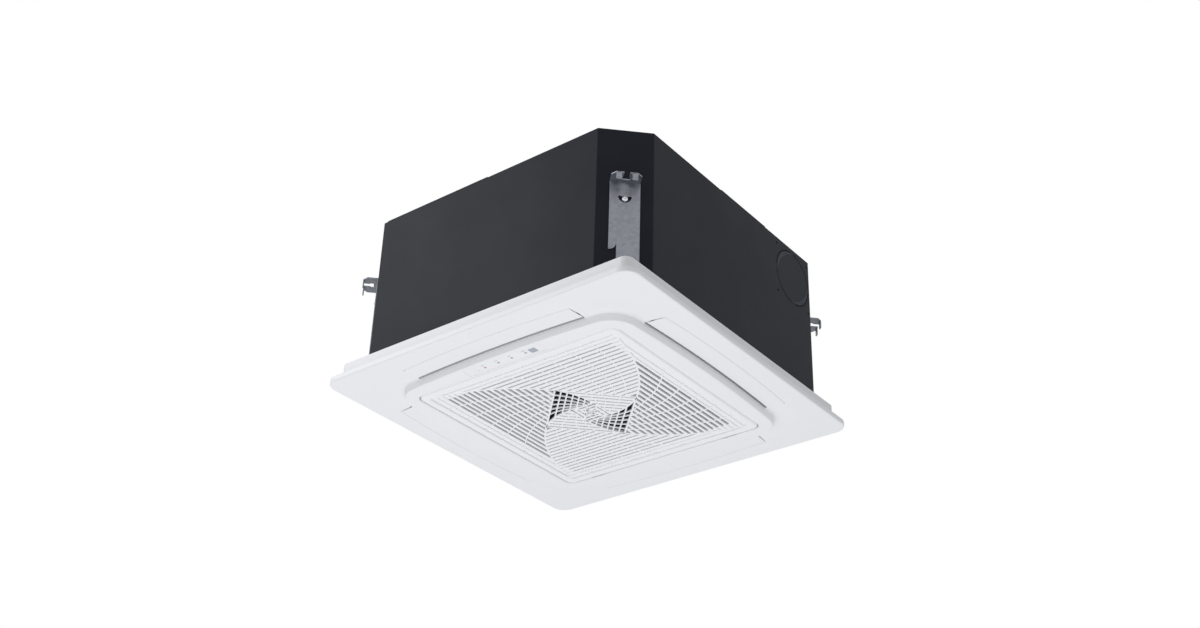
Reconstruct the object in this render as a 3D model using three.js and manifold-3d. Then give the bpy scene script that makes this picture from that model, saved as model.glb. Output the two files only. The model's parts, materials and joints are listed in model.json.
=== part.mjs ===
// Compact four-way ceiling cassette air conditioner.
// Millimetres, +Z up. The origin is the centre of the decorative panel's lowest face, so the
// ring and grille face lies at z = 0 and the cabinet rises above it into the ceiling void.
// The -Y side carries the display, +X the fresh-air knock-out and -X the pipes.
import * as THREE from 'three';
import { mergeGeometries, mergeVertices } from 'three/addons/utils/BufferGeometryUtils.js';
import Module from 'manifold-3d';

const wasm = await Module();
wasm.setup();

// ---------------------------------------------------------------- driving dimensions
const GAP = 0.3;                  // clearance between pieces that touch
const RUN = 0.3;                  // radial clearance of a pin in its bore

const PANEL_HALF = 310;           // 620 mm square decorative panel
const PANEL_RADIUS = 25;
const FACE_Z = 11;                // outer face of the panel above the ring face
const RIM_Z = 21;                 // top of the rounded rim, which meets the ceiling
const SKIRT_HALF = PANEL_HALF - 17;
const SKIRT_RADIUS = 14;
const SKIRT_TOP = 50;
const WALL = 3;                   // moulded wall of the panel

const RING_MID = PANEL_HALF - 74; // bowed ring platform: half-width at mid side and near corners
const RING_CORNER = PANEL_HALF - 80.5;
const RING_RADIUS = 46.4;
const VALLEY_Z = 14;              // bottom of the groove between ring and outer face
const VALLEY_OUT_MID = PANEL_HALF - 32.5;
const VALLEY_OUT_CORNER = PANEL_HALF - 40.8;
const VALLEY_OUT_RADIUS = 86;

const GRILLE_HALF = PANEL_HALF - 108; // intake grille frame
const GRILLE_RADIUS = 13;
const GRILLE_GAP = 1.4;           // gap between grille and ring
const GRILLE_DEEP = 10;
const GRILLE_EDGE = 2.8;          // chamfer that clears the ring's corners as the grille swings
const FIELD_HALF = GRILLE_HALF - 15; // slatted field inside the grille frame
const FIELD_Z0 = 1.5;
const FIELD_Z1 = 8.5;
const SLAT_PITCH = 10.35;
const SLAT_OPENING = 5;
const SPINE = 3.25;               // width of the spiral ribs between sectors
const RIB = 2;                    // width of the curved cross ribs
const EYE_RATIO = 94 / 264.5;     // half-diagonal of each inner square over the one outside it
const SPIRAL_TURN = 39;           // degrees that each spiral rib turns through

const FLANGE_HALF = GRILLE_HALF - 12; // seat flange behind the grille frame
const FLANGE_RADIUS = 34;
const FLANGE_Z = 15.4;
const FLANGE_THICK = 2.6;
const FILTER_HALF = FIELD_HALF - 9; // the latches slide outside the filter

const OUTLET_HALF = PANEL_HALF - 141; // outlet opening, half-length
const LOUVRE_HALF = OUTLET_HALF - 1;
const LOUVRE_IN_MID = RING_MID + 5.5;
const LOUVRE_IN_CORNER = RING_CORNER + 5.5;
const LOUVRE_OUT_MID = VALLEY_OUT_MID - 0.8;
const LOUVRE_OUT_CORNER = VALLEY_OUT_CORNER - 0.8;
const LOUVRE_THICK = 2.4;
const LOUVRE_LIFT = 2.6;          // the inner edge curls up into the groove by this much
const LOUVRE_AXIS_D = RING_MID + 11; // hinge axis: distance from the centre and height
const LOUVRE_AXIS_Z = 20.5;
const LOUVRE_PIN_R = 2.5;
const DUCT_WALL = 2.5;
const DUCT_IN = RING_MID - 8.2;   // outlet duct: inner and outer walls of the moulded frame
const DUCT_OUT = VALLEY_OUT_MID + 4.3;
const STEPPER_R = 10;
const STEPPER_LONG = 16;
const STEPPER_OFFSET = 7;         // motor centre above its output shaft

const DISPLAY_HALF = 78;
const DISPLAY_DEEP = 20;
const DISPLAY_D = RING_MID - 17.5; // distance of the display strip from the centre
const BUTTON_X = -55;
const BUTTON_R = 3.2;
const BUTTON_TRAVEL = 1;
const WINDOW_X = 57.5;
const WINDOW_W = 12.5;
const WINDOW_D = 11.7;
const BOARD_Z = 8;

const LATCH_X = 84;
const HINGE_X = 140;
const HINGE_D = GRILLE_HALF - 8;  // the grille swings down inside the ring's rounded corners
const HINGE_Z = 4;
const HINGE_PIN_R = 1.5;
const HINGE_EYE_R = 2.7;
const RELIEF_X = GRILLE_HALF - 20;

const BODY_HALF = SKIRT_HALF - 2; // 582 mm square cabinet with chamfered corners
const BODY_CHAMFER = 62;
const BODY_TOP = 306.3;
const SHEET = 1.5;
const FOAM = 10;
const PAN_TOP = 100;
const TROUGH_Z = 78;
const TROUGH_IN = BODY_HALF - 105;
const TROUGH_OUT = BODY_HALF - 59;
const INTAKE_R = 150;             // round opening in the drain pan
const COIL_IN = TROUGH_IN + 10;
const COIL_OUT = TROUGH_OUT - 10;
const COIL_END = 120;             // where the coil stops on either side of the pipe corner

const FAN_R = 152;
const BLADES = 7;
const MOUTH_R = FAN_R - 40;       // throat of the bell mouth, inside the impeller's shroud
const MOUTH_TOP = 112;
const HUB_Z = 240;                // rim of the impeller's back plate
const NOSE_Z = HUB_Z - 45;        // lower end of its hub
const BLADE_IN = FAN_R - 56;
const SHAFT_R = 5;
const MOTOR_R = 62;
const MOTOR_Z0 = 228;
const MOTOR_Z1 = 290;

const KNOCKOUT_Y = BODY_HALF - 117;
const KNOCKOUT_Z = 247;
const KNOCKOUT_R = 51;
const KNOCKOUT_SLIT = 1.6;
const KNOCKOUT_ARC = 78;          // degrees that each of the four slits covers
const KNOCKOUT_SCREWS = [48, 47]; // screw holes beside and above the disc's centre
const KNOCKOUT_SCREW_R = 2;

const PIPE_Y = BODY_HALF - 141;
const GAS_Z = 215;
const LIQUID_Z = 175;
const GAS_R = 6.35;
const LIQUID_R = 3.2;
const PIPE_END = BODY_HALF + 18;  // the pipes stay inside the panel's outline
const DRAIN_Y = BODY_HALF - 86;
const DRAIN_Z = 230;
const HOSE_R = 8;

const HANGER_W = 47;
const HANGER_Z0 = 87;
const HANGER_Z1 = 209;
const HANGER_REACH = 26;
const HANGER_THICK = 2;

// ---------------------------------------------------------------- palette
const finish = (color, roughness, metalness = 0) =>
  new THREE.MeshStandardMaterial({ color, roughness, metalness });
const WHITE = finish(0xe9eaec, 0.45);
const GRILLE_WHITE = finish(0xedeef0, 0.5);
const CHARCOAL = finish(0x26282c, 0.75, 0.3);
const ZINC = finish(0x9aa0a8, 0.45, 0.8);
const STEEL = finish(0xb9bcc0, 0.35, 0.9);
const EPS = finish(0xe4e6e8, 0.9);
const FOAM_BLACK = finish(0x2d2f31, 0.95);
const ALUMINIUM = finish(0xc3c6c9, 0.4, 0.85);
const COPPER = finish(0xb87350, 0.35, 0.9);
const BRASS = finish(0xc7a24c, 0.35, 0.9);
const RUBBER = finish(0x1d1e20, 0.85);
const FAN_GREY = finish(0xcfd2d4, 0.5);
const BOARD_GREEN = finish(0x2f6b45, 0.6);
const TINTED = finish(0xb4bac2, 0.2);
const FILTER_GREY = finish(0x6d7379, 0.8);

// ---------------------------------------------------------------- solids
function solid(geometry) {
  const bare = geometry.clone();
  bare.deleteAttribute('normal');
  bare.deleteAttribute('uv');
  const merged = mergeVertices(bare, 1e-4);
  return new wasm.Manifold(new wasm.Mesh({
    numProp: 3,
    vertProperties: Float32Array.from(merged.attributes.position.array),
    triVerts: Uint32Array.from(merged.index.array),
  }));
}

function geometryOf(body) {
  const { vertProperties, triVerts } = body.getMesh();
  const geometry = new THREE.BufferGeometry();
  geometry.setAttribute('position', new THREE.BufferAttribute(Float32Array.from(vertProperties), 3));
  geometry.setIndex(new THREE.BufferAttribute(Uint32Array.from(triVerts), 1));
  return geometry;
}

const joined = (...parts) => parts.reduce((a, b) => a.add(b));
const cut = (body, ...tools) => tools.reduce((a, b) => a.subtract(b), body);

const AXES = {
  x: new THREE.Matrix4().makeBasis(
    new THREE.Vector3(0, 1, 0), new THREE.Vector3(0, 0, 1), new THREE.Vector3(1, 0, 0)),
  y: new THREE.Matrix4().makeBasis(
    new THREE.Vector3(0, 0, 1), new THREE.Vector3(1, 0, 0), new THREE.Vector3(0, 1, 0)),
  z: new THREE.Matrix4(),
};

// Prism along an axis. The outline holds (y, z), (x, z) or (x, y) pairs.
function prismGeometry(axis, outline, from, to, holes = []) {
  const order = ([a, b]) => (axis === 'y' ? new THREE.Vector2(b, a) : new THREE.Vector2(a, b));
  const points = outline.map(order);
  if (THREE.ShapeUtils.isClockWise(points)) points.reverse();
  const shape = new THREE.Shape(points);
  shape.holes = holes.map((hole) => new THREE.Path(hole.map(order)));
  const geometry = new THREE.ExtrudeGeometry(shape, { depth: to - from, bevelEnabled: false });
  geometry.translate(0, 0, from);
  return geometry.applyMatrix4(AXES[axis]);
}

const prism = (...description) => solid(prismGeometry(...description));

// Separate prisms of the same height as one cutting tool.
const prisms = (axis, outlines, from, to) =>
  solid(mergeGeometries(outlines.map((outline) => prismGeometry(axis, outline, from, to))));

function box(x0, x1, y0, y1, z0, z1) {
  const geometry = new THREE.BoxGeometry(x1 - x0, y1 - y0, z1 - z0);
  return solid(geometry.translate((x0 + x1) / 2, (y0 + y1) / 2, (z0 + z1) / 2));
}

function circle(a, b, radius, sides = 16) {
  return Array.from({ length: sides }, (_, i) => {
    const angle = (2 * Math.PI * (i + 0.5)) / sides;
    return [a + radius * Math.cos(angle), b + radius * Math.sin(angle)];
  });
}

// A bore's polygon goes round its circle, so the round pin never meets its flats.
const bore = (a, b, radius, sides = 16) => circle(a, b, radius / Math.cos(Math.PI / sides), sides);

const rod = (axis, a, b, radius, from, to, sides = 16) =>
  prism(axis, circle(a, b, radius, sides), from, to);
const hole = (axis, a, b, radius, from, to, sides = 16) =>
  prism(axis, bore(a, b, radius, sides), from, to);

function turned(profile, sides = 32) {
  const geometry = new THREE.LatheGeometry(profile.map(([r, z]) => new THREE.Vector2(r, z)), sides);
  geometry.rotateX(Math.PI / 2);
  const body = solid(geometry);
  return body.volume() < 0 ? solid(flipped(geometry)) : body;
}

function flipped(geometry) {
  const copy = geometry.clone();
  const index = copy.index.array;
  for (let i = 0; i < index.length; i += 3) {
    [index[i], index[i + 1]] = [index[i + 1], index[i]];
  }
  return copy;
}

function swept(points, radius, sides, steps) {
  const path = new THREE.CurvePath();
  points.forEach((curve) => path.add(curve));
  const shape = new THREE.Shape(circle(0, 0, radius, sides).map(([a, b]) => new THREE.Vector2(a, b)));
  return solid(new THREE.ExtrudeGeometry(shape, { steps, extrudePath: path, bevelEnabled: false }));
}

const spun = (body, degrees) => body.rotate([0, 0, degrees]);

// ---------------------------------------------------------------- outlines
const SIDE_STEPS = 4;
const CORNER_STEPS = 3;

// Radius of the long arc that bows a side out from `corner` to `mid`, tangent to the corner arc.
function bowRadius(mid, corner, radius) {
  const centre = corner - radius;
  const inset = centre - mid;
  return (radius ** 2 - inset ** 2 - centre ** 2) / (2 * (inset + radius));
}

// Distance from the centre to a bowed side at place x along it.
function bowedSide(mid, corner, radius) {
  const long = bowRadius(mid, corner, radius);
  return (x) => mid - (long - Math.sqrt(long ** 2 - x ** 2));
}

// Square with rounded corners whose sides bow outward, anticlockwise from the -Y side.
function bowedSquare(mid, corner, radius, perSide = SIDE_STEPS, perCorner = CORNER_STEPS) {
  const centre = corner - radius;
  const bowed = mid - corner > 0.01;
  const long = bowed ? bowRadius(mid, corner, radius) : 0;
  const lean = bowed ? Math.atan2(centre, centre + long - mid) : 0;
  const side = [];
  for (let i = 0; i < perSide; i += 1) {
    const share = (2 * i) / perSide - 1;
    side.push(bowed
      ? [long * Math.sin(share * lean), long - mid - long * Math.cos(share * lean)]
      : [share * centre, -mid]);
  }
  for (let i = 0; i < perCorner; i += 1) {
    const angle = -Math.PI / 2 + lean + ((Math.PI / 2 - 2 * lean) * i) / perCorner;
    side.push([centre + radius * Math.cos(angle), -centre + radius * Math.sin(angle)]);
  }
  const turns = [([x, y]) => [x, y], ([x, y]) => [-y, x], ([x, y]) => [-x, -y], ([x, y]) => [y, -x]];
  return turns.flatMap((turn) => side.map(turn));
}

const roundedSquare = (half, radius, perCorner = CORNER_STEPS) =>
  bowedSquare(half, half, radius, 1, perCorner);

function chamferedSquare(half, chamfer) {
  const c = half - chamfer;
  return [[-c, -half], [c, -half], [half, -c], [half, c], [c, half], [-c, half], [-half, c], [-half, -c]];
}

const rectangle = (a0, a1, b0, b1) => [[a0, b0], [a1, b0], [a1, b1], [a0, b1]];

// Rings of points joined one to the next; `closed` joins the last to the first.
function lofted(rings, closed) {
  const count = rings[0].length;
  const positions = rings.flat(2);
  const index = [];
  const last = closed ? rings.length : rings.length - 1;
  for (let r = 0; r < last; r += 1) {
    const next = (r + 1) % rings.length;
    for (let i = 0; i < count; i += 1) {
      const j = (i + 1) % count;
      const [a, b, c, d] = [r * count + i, r * count + j, next * count + j, next * count + i];
      index.push(a, b, c, a, c, d);
    }
  }
  if (!closed) {
    const flat = rings[0].map(([, y, z]) => new THREE.Vector2(y, z));
    THREE.ShapeUtils.triangulateShape(flat, []).forEach(([a, b, c]) => {
      const far = (rings.length - 1) * count;
      index.push(c, b, a, far + a, far + b, far + c);
    });
  }
  const geometry = new THREE.BufferGeometry();
  geometry.setAttribute('position', new THREE.BufferAttribute(Float32Array.from(positions), 3));
  geometry.setIndex(index);
  const body = solid(geometry);
  return body.volume() < 0 ? solid(flipped(geometry)) : body;
}

// ---------------------------------------------------------------- group and placing
const unit = new THREE.Group();

function addPart(name, body, material) {
  const part = new THREE.Mesh(geometryOf(body), material);
  part.name = name;
  unit.add(part);
}

// ---------------------------------------------------------------- decorative panel
const RING_INNER = GRILLE_HALF + GRILLE_GAP;
const RING_INNER_R = GRILLE_RADIUS + GRILLE_GAP;
const PANEL_BACK = FACE_Z + WALL;

function panelShell() {
  const straight = (half, radius, z) => ({ mid: half, corner: half, radius, z });
  const bowed = (grow, z) =>
    ({ mid: RING_MID + grow, corner: RING_CORNER + grow, radius: RING_RADIUS + grow, z });
  const valleyOut = (z) =>
    ({ mid: VALLEY_OUT_MID, corner: VALLEY_OUT_CORNER, radius: VALLEY_OUT_RADIUS, z });
  const rim = (inset, z) => straight(PANEL_HALF - inset, PANEL_RADIUS - inset, z);
  const skirt = (inset, z) => straight(SKIRT_HALF - inset, SKIRT_RADIUS - inset, z);
  const profile = [
    straight(RING_INNER, RING_INNER_R, 1.2),
    straight(RING_INNER + 1.2, RING_INNER_R + 1.2, 0),
    bowed(-1.4, 0),
    bowed(0, 1.6),
    bowed(1.3, VALLEY_Z),
    valleyOut(FACE_Z),
    rim(5, FACE_Z - 0.4),
    rim(0.8, FACE_Z + 1.6),
    rim(0, FACE_Z + 5.6),
    rim(1.6, RIM_Z),
    skirt(0, RIM_Z),
    skirt(0, SKIRT_TOP),
    skirt(WALL, SKIRT_TOP),
    skirt(WALL, PANEL_BACK + 0.4),
    valleyOut(PANEL_BACK + 0.2),
    bowed(-1.7, VALLEY_Z + WALL),
    bowed(-WALL, WALL),
    straight(RING_INNER + WALL, RING_INNER_R + WALL, WALL),
    straight(RING_INNER + WALL, RING_INNER_R + WALL, FLANGE_Z + FLANGE_THICK),
    straight(FLANGE_HALF, FLANGE_RADIUS, FLANGE_Z + FLANGE_THICK),
    straight(FLANGE_HALF, FLANGE_RADIUS, FLANGE_Z),
    straight(RING_INNER, RING_INNER_R, FLANGE_Z),
  ];
  const rings = profile.map(({ mid, corner, radius, z }) =>
    bowedSquare(mid, corner, radius).map(([x, y]) => [x, y, z]));
  return lofted(rings, true);
}

// Plan of one outlet on the -Y side, from the ring's wall to the outer face.
function outletPlan() {
  const inner = bowedSide(RING_MID + 1.6, RING_CORNER + 1.6, RING_RADIUS + 1.6);
  const outer = bowedSide(VALLEY_OUT_MID, VALLEY_OUT_CORNER, VALLEY_OUT_RADIUS);
  const places = Array.from({ length: SIDE_STEPS + 1 },
    (_, i) => -OUTLET_HALF + (2 * OUTLET_HALF * i) / SIDE_STEPS);
  return [
    ...places.map((x) => [x, -outer(x)]),
    ...places.reverse().map((x) => [x, -inner(x)]),
  ];
}

function outletDuct() {
  const [x0, x1] = [OUTLET_HALF + 0.5, OUTLET_HALF + 0.5 + DUCT_WALL];
  const ring = prism('z', rectangle(-x1, x1, -DUCT_OUT, -DUCT_IN), VALLEY_Z + 1.5, SKIRT_TOP,
    [rectangle(-x0, x0, -DUCT_OUT + DUCT_WALL, -DUCT_IN - DUCT_WALL)]);
  const innerFoot = box(-x1, x1, -DUCT_IN - DUCT_WALL, -DUCT_IN, WALL - 1, VALLEY_Z + 2);
  return joined(ring, innerFoot);
}

const DUCT_END = OUTLET_HALF + 0.5 + DUCT_WALL;
const BOLT_AT = (FLANGE_HALF - FLANGE_RADIUS * (1 - Math.SQRT1_2) + RING_INNER - RING_INNER_R * 0.29) / 2;
const BOLT_R = 2.5;
const BOLT_TOP = 64;
const BOLT_HEAD = 2.8;

function hingeArms(x) {
  const sides = [-1, 1].map((s) => {
    const from = x + (s < 0 ? -13 : 10);
    const post = box(from, from + 3, HINGE_D - HINGE_EYE_R, HINGE_D + HINGE_EYE_R,
      HINGE_Z, FLANGE_Z + 1);
    return joined(post, rod('x', HINGE_D, HINGE_Z, HINGE_EYE_R, from, from + 3));
  });
  return joined(...sides);
}

function panelFrame() {
  let body = panelShell();
  for (let side = 0; side < 4; side += 1) {
    body = joined(body, spun(outletDuct(), side * 90));
  }
  for (let side = 0; side < 4; side += 1) {
    const opening = prism('z', outletPlan(), 0, VALLEY_Z + 2 * WALL);
    const pinHoles = hole('x', -LOUVRE_AXIS_D, LOUVRE_AXIS_Z, LOUVRE_PIN_R + RUN,
      -DUCT_END - 1, DUCT_END + 1, 8);
    body = cut(body, spun(opening, side * 90), spun(pinHoles, side * 90));
    const boltHole = hole('z', BOLT_AT, -BOLT_AT, BOLT_R + GAP,
      FLANGE_Z - 1, FLANGE_Z + FLANGE_THICK + 1, 8);
    body = cut(body, spun(boltHole, side * 90));
  }
  body = joined(body, ...[-1, 1].map((s) => hingeArms(s * HINGE_X)));
  body = cut(body, hole('x', HINGE_D, HINGE_Z, HINGE_PIN_R + RUN, -HINGE_X - 14, HINGE_X + 14, 12));
  // Display pocket, button and receiver holes, stand-offs for the board.
  const pocket = box(-DISPLAY_HALF - GAP, DISPLAY_HALF + GAP, -DISPLAY_D - DISPLAY_DEEP / 2 - GAP,
    -DISPLAY_D + DISPLAY_DEEP / 2 + GAP, -1, 1.5);
  const standoffs = [-1, 1].map((s) => rod('z', s * 66, -DISPLAY_D, 3, WALL - 1, BOARD_Z - GAP, 12));
  body = joined(body, ...standoffs);
  body = cut(body, pocket, hole('z', BUTTON_X, -DISPLAY_D, BUTTON_R + RUN, -1, WALL + 1));
  // Windows that the latch tongues slide into.
  [-1, 1].forEach((s) => {
    body = cut(body, box(s * LATCH_X - LATCH_W / 2 - 1, s * LATCH_X + LATCH_W / 2 + 1,
      -RING_INNER - WALL - 1, -RING_INNER + 1, LATCH_Z0 - 0.5, LATCH_Z0 + LATCH_THICK + 0.5));
  });
  return body;
}

// ---------------------------------------------------------------- louvres and their motors
function louvre() {
  const inner = bowedSide(LOUVRE_IN_MID, LOUVRE_IN_CORNER, RING_RADIUS + 6);
  const outer = bowedSide(LOUVRE_OUT_MID, LOUVRE_OUT_CORNER, VALLEY_OUT_RADIUS - 1);
  const steps = 6;
  const rings = Array.from({ length: steps + 1 }, (_, i) => {
    const x = -LOUVRE_HALF + (2 * LOUVRE_HALF * i) / steps;
    const [near, far] = [inner(x), outer(x)];
    const belly = far - 0.55 * (far - near);
    return [
      [x, -far, FACE_Z],
      [x, -belly, FACE_Z + 0.5],
      [x, -near, FACE_Z + LOUVRE_LIFT],
      [x, -near, FACE_Z + LOUVRE_LIFT + LOUVRE_THICK],
      [x, -belly, FACE_Z + 0.5 + LOUVRE_THICK],
      [x, -far, FACE_Z + LOUVRE_THICK],
    ];
  });
  const ends = [-1, 1].flatMap((s) => {
    const [from, to] = s < 0 ? [-LOUVRE_HALF, -LOUVRE_HALF + 3] : [LOUVRE_HALF - 3, LOUVRE_HALF];
    const arm = box(from, to, -LOUVRE_AXIS_D - 5, -LOUVRE_AXIS_D + 5, FACE_Z + 2.5, LOUVRE_AXIS_Z);
    const eye = rod('x', -LOUVRE_AXIS_D, LOUVRE_AXIS_Z, 5, from, to, 10);
    const reach = s < 0 ? DUCT_END + 0.5 : DUCT_END + GAP + 6;
    const pin = s < 0
      ? rod('x', -LOUVRE_AXIS_D, LOUVRE_AXIS_Z, LOUVRE_PIN_R, -reach, from + 1, 8)
      : rod('x', -LOUVRE_AXIS_D, LOUVRE_AXIS_Z, LOUVRE_PIN_R, to - 1, reach, 8);
    return [arm, eye, pin];
  });
  return joined(lofted(rings, false), ...ends);
}

function louvreMotor() {
  const x0 = DUCT_END + GAP;
  const centre = LOUVRE_AXIS_Z + STEPPER_OFFSET;
  const can = rod('x', -LOUVRE_AXIS_D, centre, STEPPER_R, x0, x0 + STEPPER_LONG, 12);
  const ears = box(x0, x0 + 1.2, -LOUVRE_AXIS_D - 17, -LOUVRE_AXIS_D + 17, centre - 4, centre + 4);
  const plug = box(x0 + 4, x0 + STEPPER_LONG - 2, -LOUVRE_AXIS_D - 5, -LOUVRE_AXIS_D + 5,
    centre, centre + 14);
  const socket = hole('x', -LOUVRE_AXIS_D, LOUVRE_AXIS_Z, LOUVRE_PIN_R + RUN, x0 - 1, x0 + 7, 8);
  return cut(joined(can, ears, plug), socket);
}

// ---------------------------------------------------------------- spiral grille
// Arc from p to q that turns clockwise, seen from below, through the spiral's turn.
function spiralArc(p, q, turnDegrees = SPIRAL_TURN) {
  const half = (turnDegrees * Math.PI) / 360;
  const [dx, dy] = [q[0] - p[0], q[1] - p[1]];
  const chord = Math.hypot(dx, dy);
  const radius = chord / (2 * Math.sin(half));
  const rise = radius * Math.cos(half);
  const centre = [(p[0] + q[0]) / 2 - (dy / chord) * rise, (p[1] + q[1]) / 2 + (dx / chord) * rise];
  return { centre, radius, p, q };
}

// Where an arc crosses a row of constant v, on the branch above its centre.
function crossing(arc, v) {
  const drop = v - arc.centre[1];
  const reach = Math.sqrt(Math.max(arc.radius ** 2 - drop ** 2, 0));
  const pick = [arc.centre[0] - reach, arc.centre[0] + reach];
  const [low, high] = [Math.min(arc.p[0], arc.q[0]) - 8, Math.max(arc.p[0], arc.q[0]) + 8];
  return pick.find((u) => u >= low && u <= high);
}

// Openings of one sector of a spiral square: rows parallel to its -Y side, cut by curved ribs.
function sectorOpenings(half, pitch, opening, ribShares) {
  const eye = half * Math.SQRT2 * EYE_RATIO;
  const corner = [-half, -half];
  const bound = spiralArc(corner, [0, -eye]);
  const next = spiralArc([half, -half], [eye, 0]);
  const ribs = ribShares.map((share) => spiralArc(
    [half - 2 * half * share, -half], [eye * (1 - share), -eye * share]));
  const arcs = [next, ...ribs, bound];
  const place = (arc, v) => {
    const edge = v + eye;
    if (v > arc.q[1]) return edge;
    return crossing(arc, v) ?? edge;
  };
  const openings = [];
  for (let v = -half + 1.5; v + opening < -SPINE; v += pitch) {
    for (let k = 0; k + 1 < arcs.length; k += 1) {
      const widths = [k === 0 ? SPINE : RIB, k + 2 === arcs.length ? SPINE : RIB];
      const row = (w) => [place(arcs[k + 1], w) + widths[1] * 0.75, place(arcs[k], w) - widths[0] * 0.75];
      const [a0, a1] = row(v);
      const [b0, b1] = row(v + opening);
      if (a1 - a0 > 3 && b1 - b0 > 1.5) {
        openings.push([[a0, v], [a1, v], [b1, v + opening], [b0, v + opening]]);
      } else if (a1 - a0 > 5) {
        openings.push([[a0, v], [a1, v], [(a0 + a1) / 2, v + opening * 0.7]]);
      }
    }
  }
  return openings;
}

const turnedPoint = (degrees) => {
  const [c, s] = [Math.cos((degrees * Math.PI) / 180), Math.sin((degrees * Math.PI) / 180)];
  return ([x, y]) => [x * c - y * s, x * s + y * c];
};

function spiralOpenings() {
  const levels = [
    { half: FIELD_HALF, pitch: SLAT_PITCH, opening: SLAT_OPENING, ribs: [0.365], turn: 0 },
    { half: FIELD_HALF * EYE_RATIO - SPINE, pitch: SLAT_PITCH, opening: SLAT_OPENING, ribs: [], turn: 45 },
  ];
  return levels.flatMap(({ half, pitch, opening, ribs, turn }) => {
    const sector = sectorOpenings(half, pitch, opening, ribs);
    return [0, 90, 180, 270].flatMap((angle) =>
      sector.map((outline) => outline.map(turnedPoint(angle + turn))));
  });
}

const LATCH_W = 16;
const LATCH_THICK = 3;
const LATCH_Z0 = GRILLE_DEEP + 0.4;

function intakeGrille() {
  const face = roundedSquare(GRILLE_HALF - GRILLE_EDGE, GRILLE_RADIUS - GRILLE_EDGE);
  const outline = roundedSquare(GRILLE_HALF, GRILLE_RADIUS);
  const rings = [
    roundedSquare(FIELD_HALF, 3).map(([x, y]) => [x, y, GRILLE_DEEP]),
    roundedSquare(FIELD_HALF, 3).map(([x, y]) => [x, y, 0]),
    face.map(([x, y]) => [x, y, 0]),
    outline.map(([x, y]) => [x, y, GRILLE_EDGE]),
    outline.map(([x, y]) => [x, y, GRILLE_DEEP]),
  ];
  const frame = lofted(rings, true);
  const plate = prism('z', roundedSquare(FIELD_HALF + 1, 3, 1), FIELD_Z0, FIELD_Z1);
  const field = cut(plate, prisms('z', spiralOpenings(), FIELD_Z0 - 1, FIELD_Z1 + 1));
  let body = joined(frame, field);
  [-1, 1].forEach((s) => {
    const x = s * HINGE_X;
    const notch = box(x - 14, x + 14, HINGE_D - HINGE_EYE_R - 2.3, GRILLE_HALF + 1,
      HINGE_Z - HINGE_EYE_R - GAP, GRILLE_DEEP + 1);
    const knuckle = joined(box(x - 9, x + 9, HINGE_D - 6.2, HINGE_D, 0.8, HINGE_Z + 3),
      rod('x', HINGE_D, HINGE_Z, 3.2, x - 9, x + 9, 12));
    body = joined(cut(body, notch), knuckle);
    body = cut(body, hole('x', HINGE_D, HINGE_Z, HINGE_PIN_R + RUN, x - 14, x + 14, 12));
  });
  // The back corners on the hinge side swing up past the panel's bolts.
  const reliefs = [-1, 1].map((s) => box(Math.min(s * RELIEF_X, s * (GRILLE_HALF + 1)),
    Math.max(s * RELIEF_X, s * (GRILLE_HALF + 1)), HINGE_D + 3, GRILLE_HALF + 1,
    HINGE_Z + 1.5, GRILLE_DEEP + 1));
  return cut(body, ...reliefs);
}

function hingePin(x) {
  return rod('x', HINGE_D, HINGE_Z, HINGE_PIN_R, x - 14, x + 14, 12);
}

// Spring catch on the back of the grille frame; its rib reaches down between the slats.
function latch(x) {
  const z1 = LATCH_Z0 + LATCH_THICK;
  const tip = -(RING_INNER - 0.4);
  const slide = box(x - LATCH_W / 2, x + LATCH_W / 2, tip, -FIELD_HALF + 6, LATCH_Z0, z1);
  const rowTop = -FIELD_HALF + 1.5 + SLAT_OPENING;
  const rib = box(x - LATCH_W / 2 + 2, x + LATCH_W / 2 - 2, rowTop - GAP - 1.2, rowTop - GAP, 3, z1);
  return joined(slide, rib);
}

function airFilter() {
  const [z0, z1] = [FIELD_Z1 + GAP, FIELD_Z1 + GAP + 3.5];
  const outer = roundedSquare(FILTER_HALF, FILTER_HALF - FLANGE_HALF + FLANGE_RADIUS);
  const cells = 4;
  const inner = FILTER_HALF - 10;
  const bar = 3;
  const step = (2 * inner + bar) / cells;
  const windows = [];
  for (let i = 0; i < cells; i += 1) {
    for (let j = 0; j < cells; j += 1) {
      const [x, y] = [-inner + i * step, -inner + j * step];
      windows.push(rectangle(x, x + step - bar, y, y + step - bar));
    }
  }
  return cut(prism('z', outer, z0, z1), prisms('z', windows, z0 - 1, z1 + 1));
}

// ---------------------------------------------------------------- display and receiver
function displayCover() {
  const [y0, y1] = [-DISPLAY_D - DISPLAY_DEEP / 2, -DISPLAY_D + DISPLAY_DEEP / 2];
  const window = rectangle(WINDOW_X - WINDOW_W / 2 - GAP, WINDOW_X + WINDOW_W / 2 + GAP,
    -DISPLAY_D - WINDOW_D / 2 - GAP, -DISPLAY_D + WINDOW_D / 2 + GAP);
  return prism('z', rectangle(-DISPLAY_HALF, DISPLAY_HALF, y0, y1), 0.1, 1.2,
    [window, bore(BUTTON_X, -DISPLAY_D, BUTTON_R + RUN)]);
}

function receiverWindow() {
  return box(WINDOW_X - WINDOW_W / 2, WINDOW_X + WINDOW_W / 2,
    -DISPLAY_D - WINDOW_D / 2, -DISPLAY_D + WINDOW_D / 2, 0.05, 1.2);
}

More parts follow.
